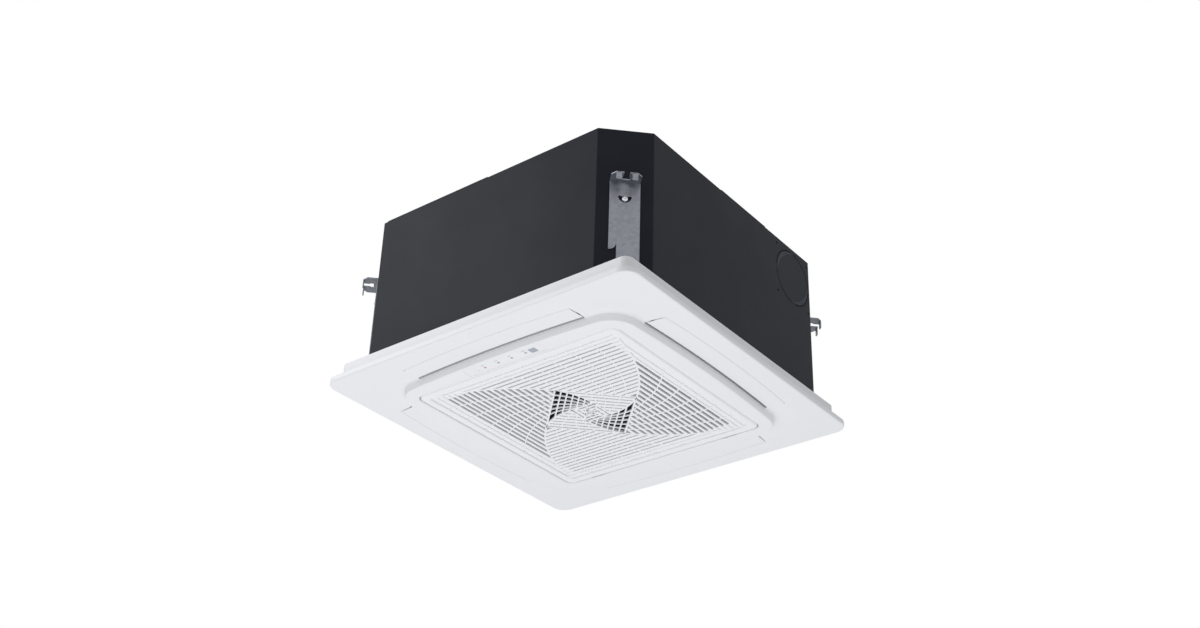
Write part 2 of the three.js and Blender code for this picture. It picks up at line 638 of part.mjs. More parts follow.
function displayBoard() {
  const [long, deep] = [DISPLAY_HALF - 8, DISPLAY_DEEP / 2 - 2];
  const plate = box(-long, long, -DISPLAY_D - deep, -DISPLAY_D + deep, BOARD_Z, BOARD_Z + 1.6);
  const sensor = box(WINDOW_X - 4, WINDOW_X + 4, -DISPLAY_D - 4, -DISPLAY_D + 4, WALL + GAP, BOARD_Z + 0.5);
  const chip = box(-20, 10, -DISPLAY_D - 5, -DISPLAY_D + 5, BOARD_Z + 1, BOARD_Z + 4);
  return joined(plate, sensor, chip);
}

function emergencyButton() {
  const cap = rod('z', BUTTON_X, -DISPLAY_D, BUTTON_R, 0, WALL + 1);
  const flange = rod('z', BUTTON_X, -DISPLAY_D, BUTTON_R + 1.6, WALL + GAP, WALL + 1.2, 10);
  const stem = rod('z', BUTTON_X, -DISPLAY_D, 1.2, WALL + 1, BOARD_Z - BUTTON_TRAVEL - GAP, 8);
  return joined(cap, flange, stem);
}

// ---------------------------------------------------------------- cabinet
const BODY_Z0 = SKIRT_TOP + GAP;
const SHELL_TOP = BODY_TOP - SHEET - GAP;
const inset = (by) => chamferedSquare(BODY_HALF - by, BODY_CHAMFER - by * (2 - Math.SQRT2));
const CHAMFER_D = (2 * BODY_HALF - BODY_CHAMFER) * Math.SQRT1_2;
const SCREW_Z = 175;

const PLATE_Y = [PIPE_Y - 26, DRAIN_Y + 18];
const PLATE_Z = [LIQUID_Z - 24, DRAIN_Z + 20];
const grown = (span, by) => [span[0] - by, span[1] + by];

function knockoutSlits() {
  const slits = [];
  const steps = Array.from({ length: 7 }, (_, i) => i / 6 - 0.5);
  for (let k = 0; k < 4; k += 1) {
    const along = (r) => (share) => {
      const a = ((45 + k * 90 + share * KNOCKOUT_ARC) * Math.PI) / 180;
      return [KNOCKOUT_Y + r * Math.cos(a), KNOCKOUT_Z + r * Math.sin(a)];
    };
    const outer = steps.map(along(KNOCKOUT_R));
    const inner = steps.map(along(KNOCKOUT_R - KNOCKOUT_SLIT));
    const ring = [...outer, ...inner.reverse()];
    slits.push(prism('x', ring, BODY_HALF - SHEET - 1, BODY_HALF + 1));
    const [sy, sz] = [k % 2 ? 1 : -1, k < 2 ? 1 : -1];
    slits.push(hole('x', KNOCKOUT_Y + sy * KNOCKOUT_SCREWS[0], KNOCKOUT_Z + sz * KNOCKOUT_SCREWS[1],
      KNOCKOUT_SCREW_R, BODY_HALF - SHEET - 1, BODY_HALF + 1, 8));
  }
  return slits;
}

function screwHoles(depth) {
  return [0, 1, 2, 3].map((k) => spun(
    hole('y', 0, SCREW_Z, 2 + GAP, -CHAMFER_D - 1, -CHAMFER_D + depth, 8), 45 + k * 90));
}

function cabinetShell() {
  const walls = prism('z', inset(0), BODY_Z0, SHELL_TOP, [inset(SHEET)]);
  const pipeWindow = prism('x', rectangle(...grown(PLATE_Y, -5), ...grown(PLATE_Z, -5)),
    -BODY_HALF - 1, -BODY_HALF + SHEET + 1);
  return cut(walls, pipeWindow, ...knockoutSlits(), ...screwHoles(3));
}

function foamLiner() {
  const walls = prism('z', inset(SHEET + GAP), PAN_TOP + GAP, SHELL_TOP, [inset(SHEET + GAP + FOAM)]);
  const pipeWindow = prism('x', rectangle(...grown(PLATE_Y, 1), ...grown(PLATE_Z, 1)),
    -BODY_HALF - 1, -BODY_HALF + SHEET + GAP + FOAM + 1);
  const airWay = rod('x', KNOCKOUT_Y, KNOCKOUT_Z, KNOCKOUT_R - 6,
    BODY_HALF - SHEET - GAP - FOAM - 1, BODY_HALF);
  return cut(walls, pipeWindow, airWay, ...screwHoles(9));
}

function topPlate() {
  return prism('z', inset(0), BODY_TOP - SHEET, BODY_TOP);
}

const WELL = [TROUGH_IN, TROUGH_OUT + 18];

function drainPan() {
  let body = prism('z', inset(SHEET + GAP), BODY_Z0 + GAP, PAN_TOP, [circle(0, 0, INTAKE_R, 24)]);
  const trough = prism('z', roundedSquare(TROUGH_OUT, 40), TROUGH_Z, PAN_TOP + 1,
    [roundedSquare(TROUGH_IN, 20)]);
  const well = box(-WELL[1], -WELL[0], WELL[0], WELL[1], TROUGH_Z - 12, PAN_TOP + 1);
  body = cut(body, trough, well);
  for (let side = 0; side < 4; side += 1) {
    const duct = box(-OUTLET_HALF + 3, OUTLET_HALF - 3, -DUCT_OUT + DUCT_WALL + 2, -TROUGH_OUT - 4,
      BODY_Z0 - 1, PAN_TOP + 1);
    const boltHole = hole('z', BOLT_AT, -BOLT_AT, BOLT_R + GAP, BODY_Z0 - 1, BOLT_TOP + 2, 8);
    body = cut(body, spun(duct, side * 90), spun(boltHole, side * 90));
  }
  return body;
}

function panelBolt() {
  const head = rod('z', BOLT_AT, -BOLT_AT, 5, FLANGE_Z - GAP - BOLT_HEAD, FLANGE_Z - GAP, 6);
  return joined(head, rod('z', BOLT_AT, -BOLT_AT, BOLT_R, FLANGE_Z - GAP - 1, BOLT_TOP, 8));
}

// ---------------------------------------------------------------- hangers
// Galvanised strap on a chamfered corner with a slotted lug for the hanging rod.
function hanger() {
  const back = -CHAMFER_D - GAP;
  const [w, t] = [HANGER_W / 2, HANGER_THICK];
  const notch = 6;
  const strapOutline = [[-w + notch, HANGER_Z0], [w - notch, HANGER_Z0], [w, HANGER_Z0 + notch],
    [w, HANGER_Z1], [-w, HANGER_Z1], [-w, HANGER_Z0 + notch]];
  const strap = prism('y', strapOutline, back - t, back, [circle(0, SCREW_Z, 5.5, 12)]);
  const tip = back - HANGER_REACH;
  const lugOutline = [[-w, back], [-w, tip + 7], [-w + 7, tip], [w - 7, tip], [w, tip + 7], [w, back]];
  const lug = prism('z', lugOutline, HANGER_Z1 - t, HANGER_Z1);
  const lips = [-1, 1].map((s) => box(Math.min(s * 8, s * (w - 7)), Math.max(s * 8, s * (w - 7)),
    tip, tip + t, HANGER_Z1 - 14, HANGER_Z1));
  const slot = box(-6.5, 6.5, back - 19, back - 8, HANGER_Z1 - t - 1, HANGER_Z1 + 1);
  const mouth = box(-4.5, 4.5, tip - 1, back - 12, HANGER_Z1 - 20, HANGER_Z1 + 1);
  const crossPiece = box(-w / 3, w / 3, back - t, back, SCREW_Z + 8, SCREW_Z + 9);
  return cut(joined(strap, crossPiece, lug, ...lips), slot, mouth);
}

function hangerScrew() {
  const face = -CHAMFER_D - GAP;
  const head = rod('y', 0, SCREW_Z, 4.5, face - HANGER_THICK - GAP - 2.6, face, 10);
  return joined(head, rod('y', 0, SCREW_Z, 2, face - 0.5, face + 8, 8));
}

// ---------------------------------------------------------------- fan and motor
// Shares of the way from the mouth's wide rim to its throat: inward, then upward.
const MOUTH_CURVE = [[0, 0], [0.25, 0.108], [0.62, 0.417], [0.89, 0.738], [1, 1]];

function bellMouth() {
  const [z0, z1] = [SKIRT_TOP - 2.4, SKIRT_TOP + GAP];
  const rim = INTAKE_R + 36;
  const wall = (from, to, low) => MOUTH_CURVE.map(([inward, upward]) =>
    [from + (to - from) * inward, low + (MOUTH_TOP - low) * upward]);
  const outside = wall(INTAKE_R - 3, MOUTH_R + 2.3, z1);
  const inside = wall(INTAKE_R - 4, MOUTH_R, z0).reverse();
  return turned([[rim, z0], [rim, z1], ...outside, ...inside, [rim, z0]], 24);
}

const EYE_R = MOUTH_R + 6;
const SHROUD_Z = MOUTH_TOP - 6;

function fanImpeller() {
  const bossTop = NOSE_Z + 14;
  const hub = turned([[SHAFT_R + RUN, NOSE_Z], [SHAFT_R + 9, NOSE_Z], [SHAFT_R + 11, NOSE_Z + 7],
    [SHAFT_R + 27, NOSE_Z + 11], [BLADE_IN - 26, HUB_Z - 16], [BLADE_IN + 2, HUB_Z - 2],
    [FAN_R, HUB_Z], [FAN_R, HUB_Z + 2.4], [BLADE_IN + 1, HUB_Z + 0.6], [BLADE_IN - 28, HUB_Z - 13],
    [SHAFT_R + 25, bossTop], [SHAFT_R + RUN, bossTop], [SHAFT_R + RUN, NOSE_Z]], 24);
  const shroud = turned([[EYE_R, SHROUD_Z], [EYE_R + 2.4, SHROUD_Z], [EYE_R + 6, SHROUD_Z + 12],
    [EYE_R + 16, SHROUD_Z + 24], [FAN_R, SHROUD_Z + 32], [FAN_R, SHROUD_Z + 34.4],
    [EYE_R + 14.6, SHROUD_Z + 26.4], [EYE_R + 3.8, SHROUD_Z + 13.6], [EYE_R, SHROUD_Z]], 24);
  const blades = Array.from({ length: BLADES }, (_, k) => {
    const steps = 3;
    const line = Array.from({ length: steps + 1 }, (_unused, i) => {
      const r = BLADE_IN + ((FAN_R - 3 - BLADE_IN) * i) / steps;
      const a = 0.55 * (1 - ((r - BLADE_IN) / (FAN_R - BLADE_IN)) ** 0.8);
      return [r * Math.cos(a), r * Math.sin(a)];
    });
    const thick = 1.3;
    const outline = [
      ...line.map(([x, y]) => [x, y - thick]),
      ...line.reverse().map(([x, y]) => [x, y + thick]),
    ];
    const tall = prism('z', outline, SHROUD_Z + 13, HUB_Z + 1.2);
    return spun(tall, (360 * k) / BLADES);
  });
  const bladeRoom = turned([[0, SHROUD_Z - 46], [EYE_R + 5, SHROUD_Z + 13], [EYE_R + 15, SHROUD_Z + 25],
    [FAN_R, SHROUD_Z + 33], [FAN_R + 9, SHROUD_Z + 33], [FAN_R + 9, HUB_Z + 1], [BLADE_IN + 2, HUB_Z - 1],
    [BLADE_IN - 2, HUB_Z - 4], [0, HUB_Z - 50], [0, SHROUD_Z - 46]], 24);
  return joined(hub, shroud, ...blades.map((blade) => blade.intersect(bladeRoom)));
}

const NUT_LONG = 7;

function hexNut(acrossFlats, boreR, axis, a, b, from, to) {
  const outline = circle(a, b, acrossFlats / Math.sqrt(3), 6);
  return prism(axis, outline, from, to, [bore(a, b, boreR, 12)]);
}

function fanMotor() {
  const can = turned([[0, MOTOR_Z0], [26, MOTOR_Z0], [MOTOR_R - 14, MOTOR_Z0 + 6], [MOTOR_R, MOTOR_Z0 + 22],
    [MOTOR_R, MOTOR_Z1], [MOTOR_R + 12, MOTOR_Z1], [MOTOR_R + 12, MOTOR_Z1 + 3], [0, MOTOR_Z1 + 3]], 24);
  return cut(can, hole('z', 0, 0, SHAFT_R + RUN, MOTOR_Z0 - 1, MOTOR_Z0 + 24, 12));
}

function motorMount(angle) {
  const r = MOTOR_R + 2;
  const [x, y] = turnedPoint(angle)([r, 0]);
  return rod('z', x, y, 9, MOTOR_Z1 + 3 + GAP, BODY_TOP - SHEET - GAP, 12);
}

// ---------------------------------------------------------------- heat exchanger
function coilPlan(inside, outside) {
  const corners = (half, radius) => roundedSquare(half, radius, 4);
  const outer = corners(outside, 46);
  const inner = corners(inside, 20);
  const keep = (points) => points.filter(([x, y]) => !(x < -COIL_END && y > COIL_END));
  // Both walls run anticlockwise from the end on -X, round three corners, to the end on +Y.
  const ordered = (points) => {
    const angle = ([x, y]) => (Math.atan2(y, x) - (3 * Math.PI) / 4 + 4 * Math.PI) % (2 * Math.PI);
    return keep(points).sort((a, b) => angle(a) - angle(b));
  };
  return [
    [-outside, COIL_END], ...ordered(outer), [-COIL_END, outside],
    [-COIL_END, inside], ...ordered(inner).reverse(), [-inside, COIL_END],
  ];
}

const COIL_TOP = SHELL_TOP;

function coil() {
  return prism('z', coilPlan(COIL_IN, COIL_OUT), TROUGH_Z + GAP, COIL_TOP);
}

const END_THICK = 1.5;
const COIL_MID = (COIL_IN + COIL_OUT) / 2;

function coilEndPlate(side) {
  const [a, b] = [COIL_END + GAP, COIL_END + GAP + END_THICK];
  const [lo, hi] = [COIL_IN - 4, COIL_OUT + 4];
  return side === 'pipes'
    ? box(-hi, -lo, a, b, TROUGH_Z + GAP, COIL_TOP)
    : box(-b, -a, lo, hi, TROUGH_Z + GAP, COIL_TOP);
}

function bentPipe(x, z, radius, bend) {
  const start = new THREE.Vector3(x, COIL_END + 2 * GAP + END_THICK, z);
  const turnAt = new THREE.Vector3(x, PIPE_Y - bend, z);
  const turnEnd = new THREE.Vector3(x - bend, PIPE_Y, z);
  const corner = new THREE.Vector3(x, PIPE_Y, z);
  return swept([
    new THREE.LineCurve3(start, turnAt),
    new THREE.QuadraticBezierCurve3(turnAt, corner, turnEnd),
    new THREE.LineCurve3(turnEnd, new THREE.Vector3(-PIPE_END, PIPE_Y, z)),
  ], radius, 8, 14);
}

const NUT_X = [BODY_HALF + 1, PIPE_END - 1];

function flareNut(z, radius, acrossFlats) {
  return hexNut(acrossFlats, radius + GAP, 'x', PIPE_Y, z, -NUT_X[1], -NUT_X[0]);
}

const PLATE_X = [-BODY_HALF + SHEET + GAP, -BODY_HALF + SHEET + GAP + SHEET];

function pipePlate() {
  return prism('x', rectangle(...PLATE_Y, ...PLATE_Z), ...PLATE_X, [
    bore(PIPE_Y, GAS_Z, GAS_R + GAP), bore(PIPE_Y, LIQUID_Z, LIQUID_R + GAP),
    bore(DRAIN_Y, DRAIN_Z, SPOUT_R + GAP),
  ]);
}

// ---------------------------------------------------------------- condensate drain
const PUMP_X = -(TROUGH_OUT - 20);
const PUMP_TOP = 150;
const SPOUT_R = 11;

function drainPump() {
  return turned([[0, TROUGH_Z - 11], [9, TROUGH_Z - 11], [12, 90], [24, 96], [24, 132], [16, 134],
    [16, PUMP_TOP], [0, PUMP_TOP]], 14).translate([PUMP_X, DRAIN_Y, 0]);
}

function drainHose() {
  const bend = 30;
  const end = -BODY_HALF + 16;
  const at = (x, z) => new THREE.Vector3(x, DRAIN_Y, z);
  return swept([
    new THREE.LineCurve3(at(PUMP_X, PUMP_TOP + GAP), at(PUMP_X, DRAIN_Z - bend)),
    new THREE.QuadraticBezierCurve3(
      at(PUMP_X, DRAIN_Z - bend), at(PUMP_X, DRAIN_Z), at(PUMP_X - bend, DRAIN_Z)),
    new THREE.LineCurve3(at(PUMP_X - bend, DRAIN_Z), at(end, DRAIN_Z)),
  ], HOSE_R, 8, 14);
}

function drainSpout() {
  const end = -BODY_HALF + 16 - GAP;
  const tube = prism('x', circle(DRAIN_Y, DRAIN_Z, SPOUT_R), -PIPE_END, end,
    [circle(DRAIN_Y, DRAIN_Z, SPOUT_R - 2.5)]);
  const collar = prism('x', circle(DRAIN_Y, DRAIN_Z, SPOUT_R + 4), PLATE_X[1] + GAP, PLATE_X[1] + GAP + 3,
    [circle(DRAIN_Y, DRAIN_Z, SPOUT_R - 1)]);
  return joined(tube, collar);
}

const FLOAT_X = PUMP_X + 2;
const FLOAT_Y = DRAIN_Y + 35;

function floatStem() {
  const z0 = TROUGH_Z - 12 + GAP;
  const stem = rod('z', FLOAT_X, FLOAT_Y, 2.5, z0, 122, 12);
  const foot = rod('z', FLOAT_X, FLOAT_Y, 5, z0, z0 + 2.5, 12);
  const arm = box(FLOAT_X - 4, FLOAT_X + 4, DRAIN_Y + 24 + GAP, FLOAT_Y + 3, 118, 122);
  return joined(stem, foot, arm);
}

function floatRing() {
  const z0 = TROUGH_Z - 12 + 2 * GAP + 2.5;
  return prism('z', circle(FLOAT_X, FLOAT_Y, 8.5), z0, z0 + 16, [bore(FLOAT_X, FLOAT_Y, 2.5 + RUN)]);
}

// ---------------------------------------------------------------- electric box
const EBOX_TOP = SKIRT_TOP - 2.7;
const EBOX = {
  x: 120, y0: -FLANGE_HALF + 4, y1: -FLANGE_HALF + 52, z0: EBOX_TOP - 20.5, z1: EBOX_TOP, wall: 1.2,
};
const EBOX_MID = (EBOX.y0 + EBOX.y1) / 2;

function electricBox() {
  const { x, y0, y1, z0, z1, wall } = EBOX;
  const room = box(-x + wall, x - wall, y0 + wall, y1 - wall, z0 - 1, z1 - wall);
  const clampSlot = box(x - 3, x + 3, EBOX_MID - 6, EBOX_MID + 10, z0 + 6, z0 + 14);
  return cut(box(-x, x, y0, y1, z0, z1), room, clampSlot);
}

function electricCover() {
  const { x, y0, y1, z0 } = EBOX;
  return box(-x, x, y0, y1, z0 - GAP - 1.2, z0 - GAP);
}

function mainBoard() {
  const top = EBOX.z1 - EBOX.wall - GAP;
  const mid = EBOX_MID;
  const plate = box(-EBOX.x + 20, EBOX.x / 2, EBOX.y0 + 6, EBOX.y1 - 6, top - 3.6, top - 2);
  const spacers = [-90, 50].map((x) => rod('z', x, mid, 3, top - 3, top, 10));
  const cans = [-80, -60, -40].map((x) => rod('z', x, mid - 8, 5, top - 16, top - 3, 10));
  const relay = box(-20, 10, mid - 16, mid + 6, top - 15, top - 3);
  const terminals = box(30, 56, mid - 16, mid + 16, top - 14, top - 3);
  return joined(plate, ...spacers, ...cans, relay, terminals);
}

// ---------------------------------------------------------------- assembly
const SIDES = [0, 90, 180, 270];

addPart('panel_frame', panelFrame(), WHITE);
SIDES.forEach((turn, k) => {
  addPart(`louvre_${k + 1}`, spun(louvre(), turn), WHITE);
  addPart(`louvre_motor_${k + 1}`, spun(louvreMotor(), turn), ZINC);
  addPart(`hanger_${k + 1}`, spun(hanger(), turn + 45), ZINC);
  addPart(`hanger_screw_${k + 1}`, spun(hangerScrew(), turn + 45), STEEL);
  addPart(`panel_bolt_${k + 1}`, spun(panelBolt(), turn), STEEL);
});
addPart('intake_grille', intakeGrille(), GRILLE_WHITE);
addPart('air_filter', airFilter(), FILTER_GREY);
[-1, 1].forEach((s, k) => {
  addPart(`grille_latch_${k + 1}`, latch(s * LATCH_X), WHITE);
  addPart(`grille_hinge_pin_${k + 1}`, hingePin(s * HINGE_X), STEEL);
});
addPart('display_cover', displayCover(), WHITE);
addPart('display_board', displayBoard(), BOARD_GREEN);
addPart('receiver_window', receiverWindow(), TINTED);
addPart('emergency_button', emergencyButton(), WHITE);
addPart('cabinet_shell', cabinetShell(), CHARCOAL);
addPart('top_plate', topPlate(), CHARCOAL);
addPart('foam_liner', foamLiner(), FOAM_BLACK);
addPart('drain_pan', drainPan(), EPS);
addPart('bell_mouth', bellMouth(), FAN_GREY);
addPart('fan_impeller', fanImpeller(), FAN_GREY);
addPart('fan_shaft', rod('z', 0, 0, SHAFT_R, NOSE_Z - 12, MOTOR_Z0 + 22, 12), STEEL);
addPart('fan_nut', hexNut(16, SHAFT_R + RUN, 'z', 0, 0, NOSE_Z - GAP - NUT_LONG, NOSE_Z - GAP), STEEL);
addPart('fan_motor', fanMotor(), ZINC);
[30, 150, 270].forEach((angle, k) => addPart(`motor_mount_${k + 1}`, motorMount(angle), RUBBER));
addPart('coil', coil(), ALUMINIUM);
addPart('coil_end_plate_1', coilEndPlate('pipes'), ZINC);
addPart('coil_end_plate_2', coilEndPlate('far'), ZINC);
addPart('gas_pipe', bentPipe(4 - COIL_MID, GAS_Z, GAS_R, 18), COPPER);
addPart('liquid_pipe', bentPipe(-3 - COIL_MID, LIQUID_Z, LIQUID_R, 14), COPPER);
addPart('gas_flare_nut', flareNut(GAS_Z, GAS_R, 24), BRASS);
addPart('liquid_flare_nut', flareNut(LIQUID_Z, LIQUID_R, 17), BRASS);
addPart('pipe_plate', pipePlate(), ZINC);
addPart('drain_pump', drainPump(), FAN_GREY);
addPart('drain_hose', drainHose(), RUBBER);
addPart('drain_spout', drainSpout(), FAN_GREY);
addPart('float_stem', floatStem(), WHITE);
addPart('float', floatRing(), WHITE);
addPart('electric_box', electricBox(), ZINC);
addPart('electric_cover', electricCover(), ZINC);
addPart('main_board', mainBoard(), BOARD_GREEN);

export default unit;
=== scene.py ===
"""Looks of the ceiling cassette air conditioner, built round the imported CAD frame.

Lengths inside the builders are millimetres in the part's own frame and become metres in the mesh.
"""

import json
import math

import bmesh
import bpy
from mathutils import Matrix, Vector


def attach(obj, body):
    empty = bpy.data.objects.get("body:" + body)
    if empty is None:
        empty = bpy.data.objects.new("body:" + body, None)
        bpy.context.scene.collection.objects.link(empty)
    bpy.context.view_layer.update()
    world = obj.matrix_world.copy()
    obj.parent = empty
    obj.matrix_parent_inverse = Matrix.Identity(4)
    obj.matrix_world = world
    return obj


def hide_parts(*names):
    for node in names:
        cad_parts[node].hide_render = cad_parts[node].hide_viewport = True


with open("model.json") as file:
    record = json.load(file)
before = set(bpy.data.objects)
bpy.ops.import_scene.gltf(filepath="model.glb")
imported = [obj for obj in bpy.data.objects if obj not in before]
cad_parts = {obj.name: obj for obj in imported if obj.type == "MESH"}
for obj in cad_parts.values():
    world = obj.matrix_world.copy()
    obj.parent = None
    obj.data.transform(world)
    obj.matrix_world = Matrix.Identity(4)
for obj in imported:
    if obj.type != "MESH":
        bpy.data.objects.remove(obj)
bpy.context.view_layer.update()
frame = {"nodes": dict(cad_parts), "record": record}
scene = bpy.context.scene
MM = 0.001

# ------------------------------------------------------------------ driving sizes, as in the CAD
GAP = 0.3
PANEL_HALF, PANEL_RADIUS, EDGE_R = 310, 25, 2.4
FACE_Z, RIM_Z, SKIRT_TOP = 11, 21, 50
SKIRT_HALF, SKIRT_RADIUS, WALL = 293, 14, 3
RING_MID, RING_CORNER, RING_RADIUS = 236, 229.5, 46.4
VALLEY_Z = 14
VALLEY_OUT_MID, VALLEY_OUT_CORNER, VALLEY_OUT_RADIUS = 277.5, 269.2, 86
GRILLE_HALF, GRILLE_RADIUS, GRILLE_GAP, GRILLE_DEEP = 202, 13, 1.4, 10
RING_INNER, RING_INNER_R = GRILLE_HALF + GRILLE_GAP, GRILLE_RADIUS + GRILLE_GAP
FIELD_HALF, FIELD_Z0, FIELD_Z1 = 187, 1.5, 8.5
SLAT_PITCH, SLAT_OPENING, NARROW_OPENING, FIRST_ROW = 10.35, 4.9, 3.0, 1.5
SPINE, RIB = 3.25, 2.0
EYE_RATIO, SPIRAL_TURN = 94 / 264.5, 39
RIB_SHARES = (0.123, 0.245, 0.37, 0.494, 0.65)
EYE_OPENING, EYE_SHARES = 7.6, (0.13, 0.26, 0.39, 0.52, 0.66)
SLAT_DEEP, EYE_DEEP, LEDGE_Z = 4.6, 2.8, 3.4
FLANGE_HALF, FLANGE_RADIUS, FLANGE_Z, FLANGE_THICK = 190, 34, 15.4, 2.6
FILTER_HALF = 178
OUTLET_HALF, LOUVRE_HALF = 169, 168
LOUVRE_IN_MID, LOUVRE_IN_CORNER = 241.5, 235
LOUVRE_OUT_MID, LOUVRE_OUT_CORNER = 276.7, 268.4
LOUVRE_THICK, LOUVRE_LIFT = 2.4, 2.6
LOUVRE_AXIS_D, LOUVRE_AXIS_Z, LOUVRE_PIN_R = 247, 20.5, 2.5
DUCT_IN, DUCT_OUT, DUCT_WALL = 227.8, 281.8, 2.5
DUCT_END = OUTLET_HALF + 0.5 + DUCT_WALL
DISPLAY_HALF, DISPLAY_DEEP, DISPLAY_D = 78, 20, 218.5
BUTTON_X, BUTTON_R = -55, 3.2
WINDOW_X, WINDOW_W, WINDOW_D = 57.5, 12.5, 11.7
BOARD_Z = 8
LATCH_X, LATCH_W, LATCH_Z0, LATCH_THICK = 84, 16, 10.4, 3
HINGE_X, HINGE_D, HINGE_Z, HINGE_PIN_R, HINGE_EYE_R = 140, 194, 4, 1.5, 2.7
HINGE_ROOM, RELIEF_X = 14, GRILLE_HALF - 20
BODY_HALF, BODY_CHAMFER, BODY_TOP, SHEET = 291, 62, 306.3, 1.5
BODY_Z0 = SKIRT_TOP + GAP
SHELL_TOP = BODY_TOP - SHEET - GAP
CHAMFER_D = (2 * BODY_HALF - BODY_CHAMFER) / math.sqrt(2)
KNOCKOUT_Y, KNOCKOUT_Z, KNOCKOUT_R, KNOCKOUT_SLIT, KNOCKOUT_ARC = 174, 247, 51, 1.6, 78
KNOCKOUT_SCREWS = (48, 47)
# Span and width of the painted sheen crescents on the knock-out disc.
SHEEN_SPAN, SHEEN_W = 100, 6.5
HANGER_W, HANGER_Z1, HANGER_REACH, HANGER_THICK = 47, 209, 26, 2
STRAP_FOOT, NOTCH_Z, NOTCH_R = 60, 84, 12
SCREW_Z, SCREW_HOLE_R = 175, 2.3
PIPE_Y, LIQUID_Z, DRAIN_Y, DRAIN_Z = 150, 175, 205, 230

SIDES = (0, 90, 180, 270)


# ------------------------------------------------------------------ materials
def node_material(name, base, rough, metal=0.0, spec=0.5, coat=0.0):
    """A material with Principled settings that are even all over; texture is added to it."""
    material = bpy.data.materials.new(name)
    material.use_nodes = True
    shader = material.node_tree.nodes["Principled BSDF"]
    shader.inputs["Base Color"].default_value = (*base, 1)
    shader.inputs["Roughness"].default_value = rough
    shader.inputs["Metallic"].default_value = metal
    shader.inputs["Specular IOR Level"].default_value = spec
    shader.inputs["Coat Weight"].default_value = coat
    return material


def texture_node(material, kind, stretch=(1, 1, 1), **settings):
    """A texture on object coordinates, in metres, stretched per axis."""
    nodes, links = material.node_tree.nodes, material.node_tree.links
    coords = nodes.new("ShaderNodeTexCoord")
    mapping = nodes.new("ShaderNodeMapping")
    mapping.inputs["Scale"].default_value = stretch
    links.new(coords.outputs["Object"], mapping.inputs["Vector"])
    texture = nodes.new(kind)
    links.new(mapping.outputs["Vector"], texture.inputs["Vector"])
    for key, value in settings.items():
        if hasattr(texture, key):
            setattr(texture, key, value)
        else:
            texture.inputs[key.replace("_", " ")].default_value = value
    return texture


def tint(material, factor, dark, light, low=0.3, high=0.7):
    """Colour that runs from dark to light with a texture's value."""
    nodes, links = material.node_tree.nodes, material.node_tree.links
    ramp = nodes.new("ShaderNodeValToRGB")
    ramp.color_ramp.elements[0].position = low
    ramp.color_ramp.elements[1].position = high
    ramp.color_ramp.elements[0].color = (*dark, 1)
    ramp.color_ramp.elements[1].color = (*light, 1)
    links.new(factor, ramp.inputs["Fac"])
    links.new(ramp.outputs["Color"], nodes["Principled BSDF"].inputs["Base Color"])


def roughen(material, factor, low, high):
    nodes, links = material.node_tree.nodes, material.node_tree.links
    span = nodes.new("ShaderNodeMapRange")
    span.inputs["To Min"].default_value = low
    span.inputs["To Max"].default_value = high
    links.new(factor, span.inputs["Value"])
    links.new(span.outputs["Result"], nodes["Principled BSDF"].inputs["Roughness"])


def bump(material, height, depth_mm, strength=1.0):
    nodes, links = material.node_tree.nodes, material.node_tree.links
    node = nodes.new("ShaderNodeBump")
    node.inputs["Strength"].default_value = strength
    node.inputs["Distance"].default_value = depth_mm * MM
    links.new(height, node.inputs["Height"])
    links.new(node.outputs["Normal"], nodes["Principled BSDF"].inputs["Normal"])


def grained(name, base, rough, grain_mm, depth_mm, spread=0.03, rough_spread=0.05, **settings):
    """Moulded or painted surface: faint colour drift, fine grain, uneven gloss."""
    material = node_material(name, base, rough, **settings)
    drift = texture_node(material, "ShaderNodeTexNoise", Scale=9.0, Detail=3.0)
    tint(material, drift.outputs["Fac"], [c * (1 - spread) for c in base],
         [min(c * (1 + spread), 1) for c in base])
    grain = texture_node(material, "ShaderNodeTexNoise", Scale=1000 / grain_mm, Detail=2.0)
    roughen(material, grain.outputs["Fac"], rough - rough_spread, rough + rough_spread)
    bump(material, grain.outputs["Fac"], depth_mm)
    return material


def brushed(name, base, rough, stretch, spread=0.08):
    material = node_material(name, base, rough, metal=1.0)
    streaks = texture_node(material, "ShaderNodeTexNoise", stretch=stretch, Scale=60.0, Detail=4.0)
    tint(material, streaks.outputs["Fac"], [c * (1 - spread) for c in base],
         [min(c * (1 + spread), 1) for c in base])
    roughen(material, streaks.outputs["Fac"], rough - 0.08, rough + 0.1)
    bump(material, streaks.outputs["Fac"], 0.02)
    return material


def spangled(name, base, rough):
    """Galvanised sheet: crystals a few millimetres across, each with its own tone and gloss."""
    material = node_material(name, base, rough, metal=0.9)
    cells = texture_node(material, "ShaderNodeTexVoronoi", Scale=170.0)
    tint(material, cells.outputs["Color"], [c * 0.88 for c in base],
         [min(c * 1.08, 1) for c in base], 0.2, 0.8)
    roughen(material, cells.outputs["Color"], rough - 0.08, rough + 0.1)
    fine = texture_node(material, "ShaderNodeTexNoise", Scale=900.0, Detail=3.0)
    bump(material, fine.outputs["Fac"], 0.02)
    return material


def beaded(name, base, rough, bead_mm, depth_mm):
    material = node_material(name, base, rough)
    cells = texture_node(material, "ShaderNodeTexVoronoi", Scale=1000 / bead_mm)
    tint(material, cells.outputs["Distance"], base, [c * 0.9 for c in base], 0.2, 0.9)
    bump(material, cells.outputs["Distance"], -depth_mm)
    return material


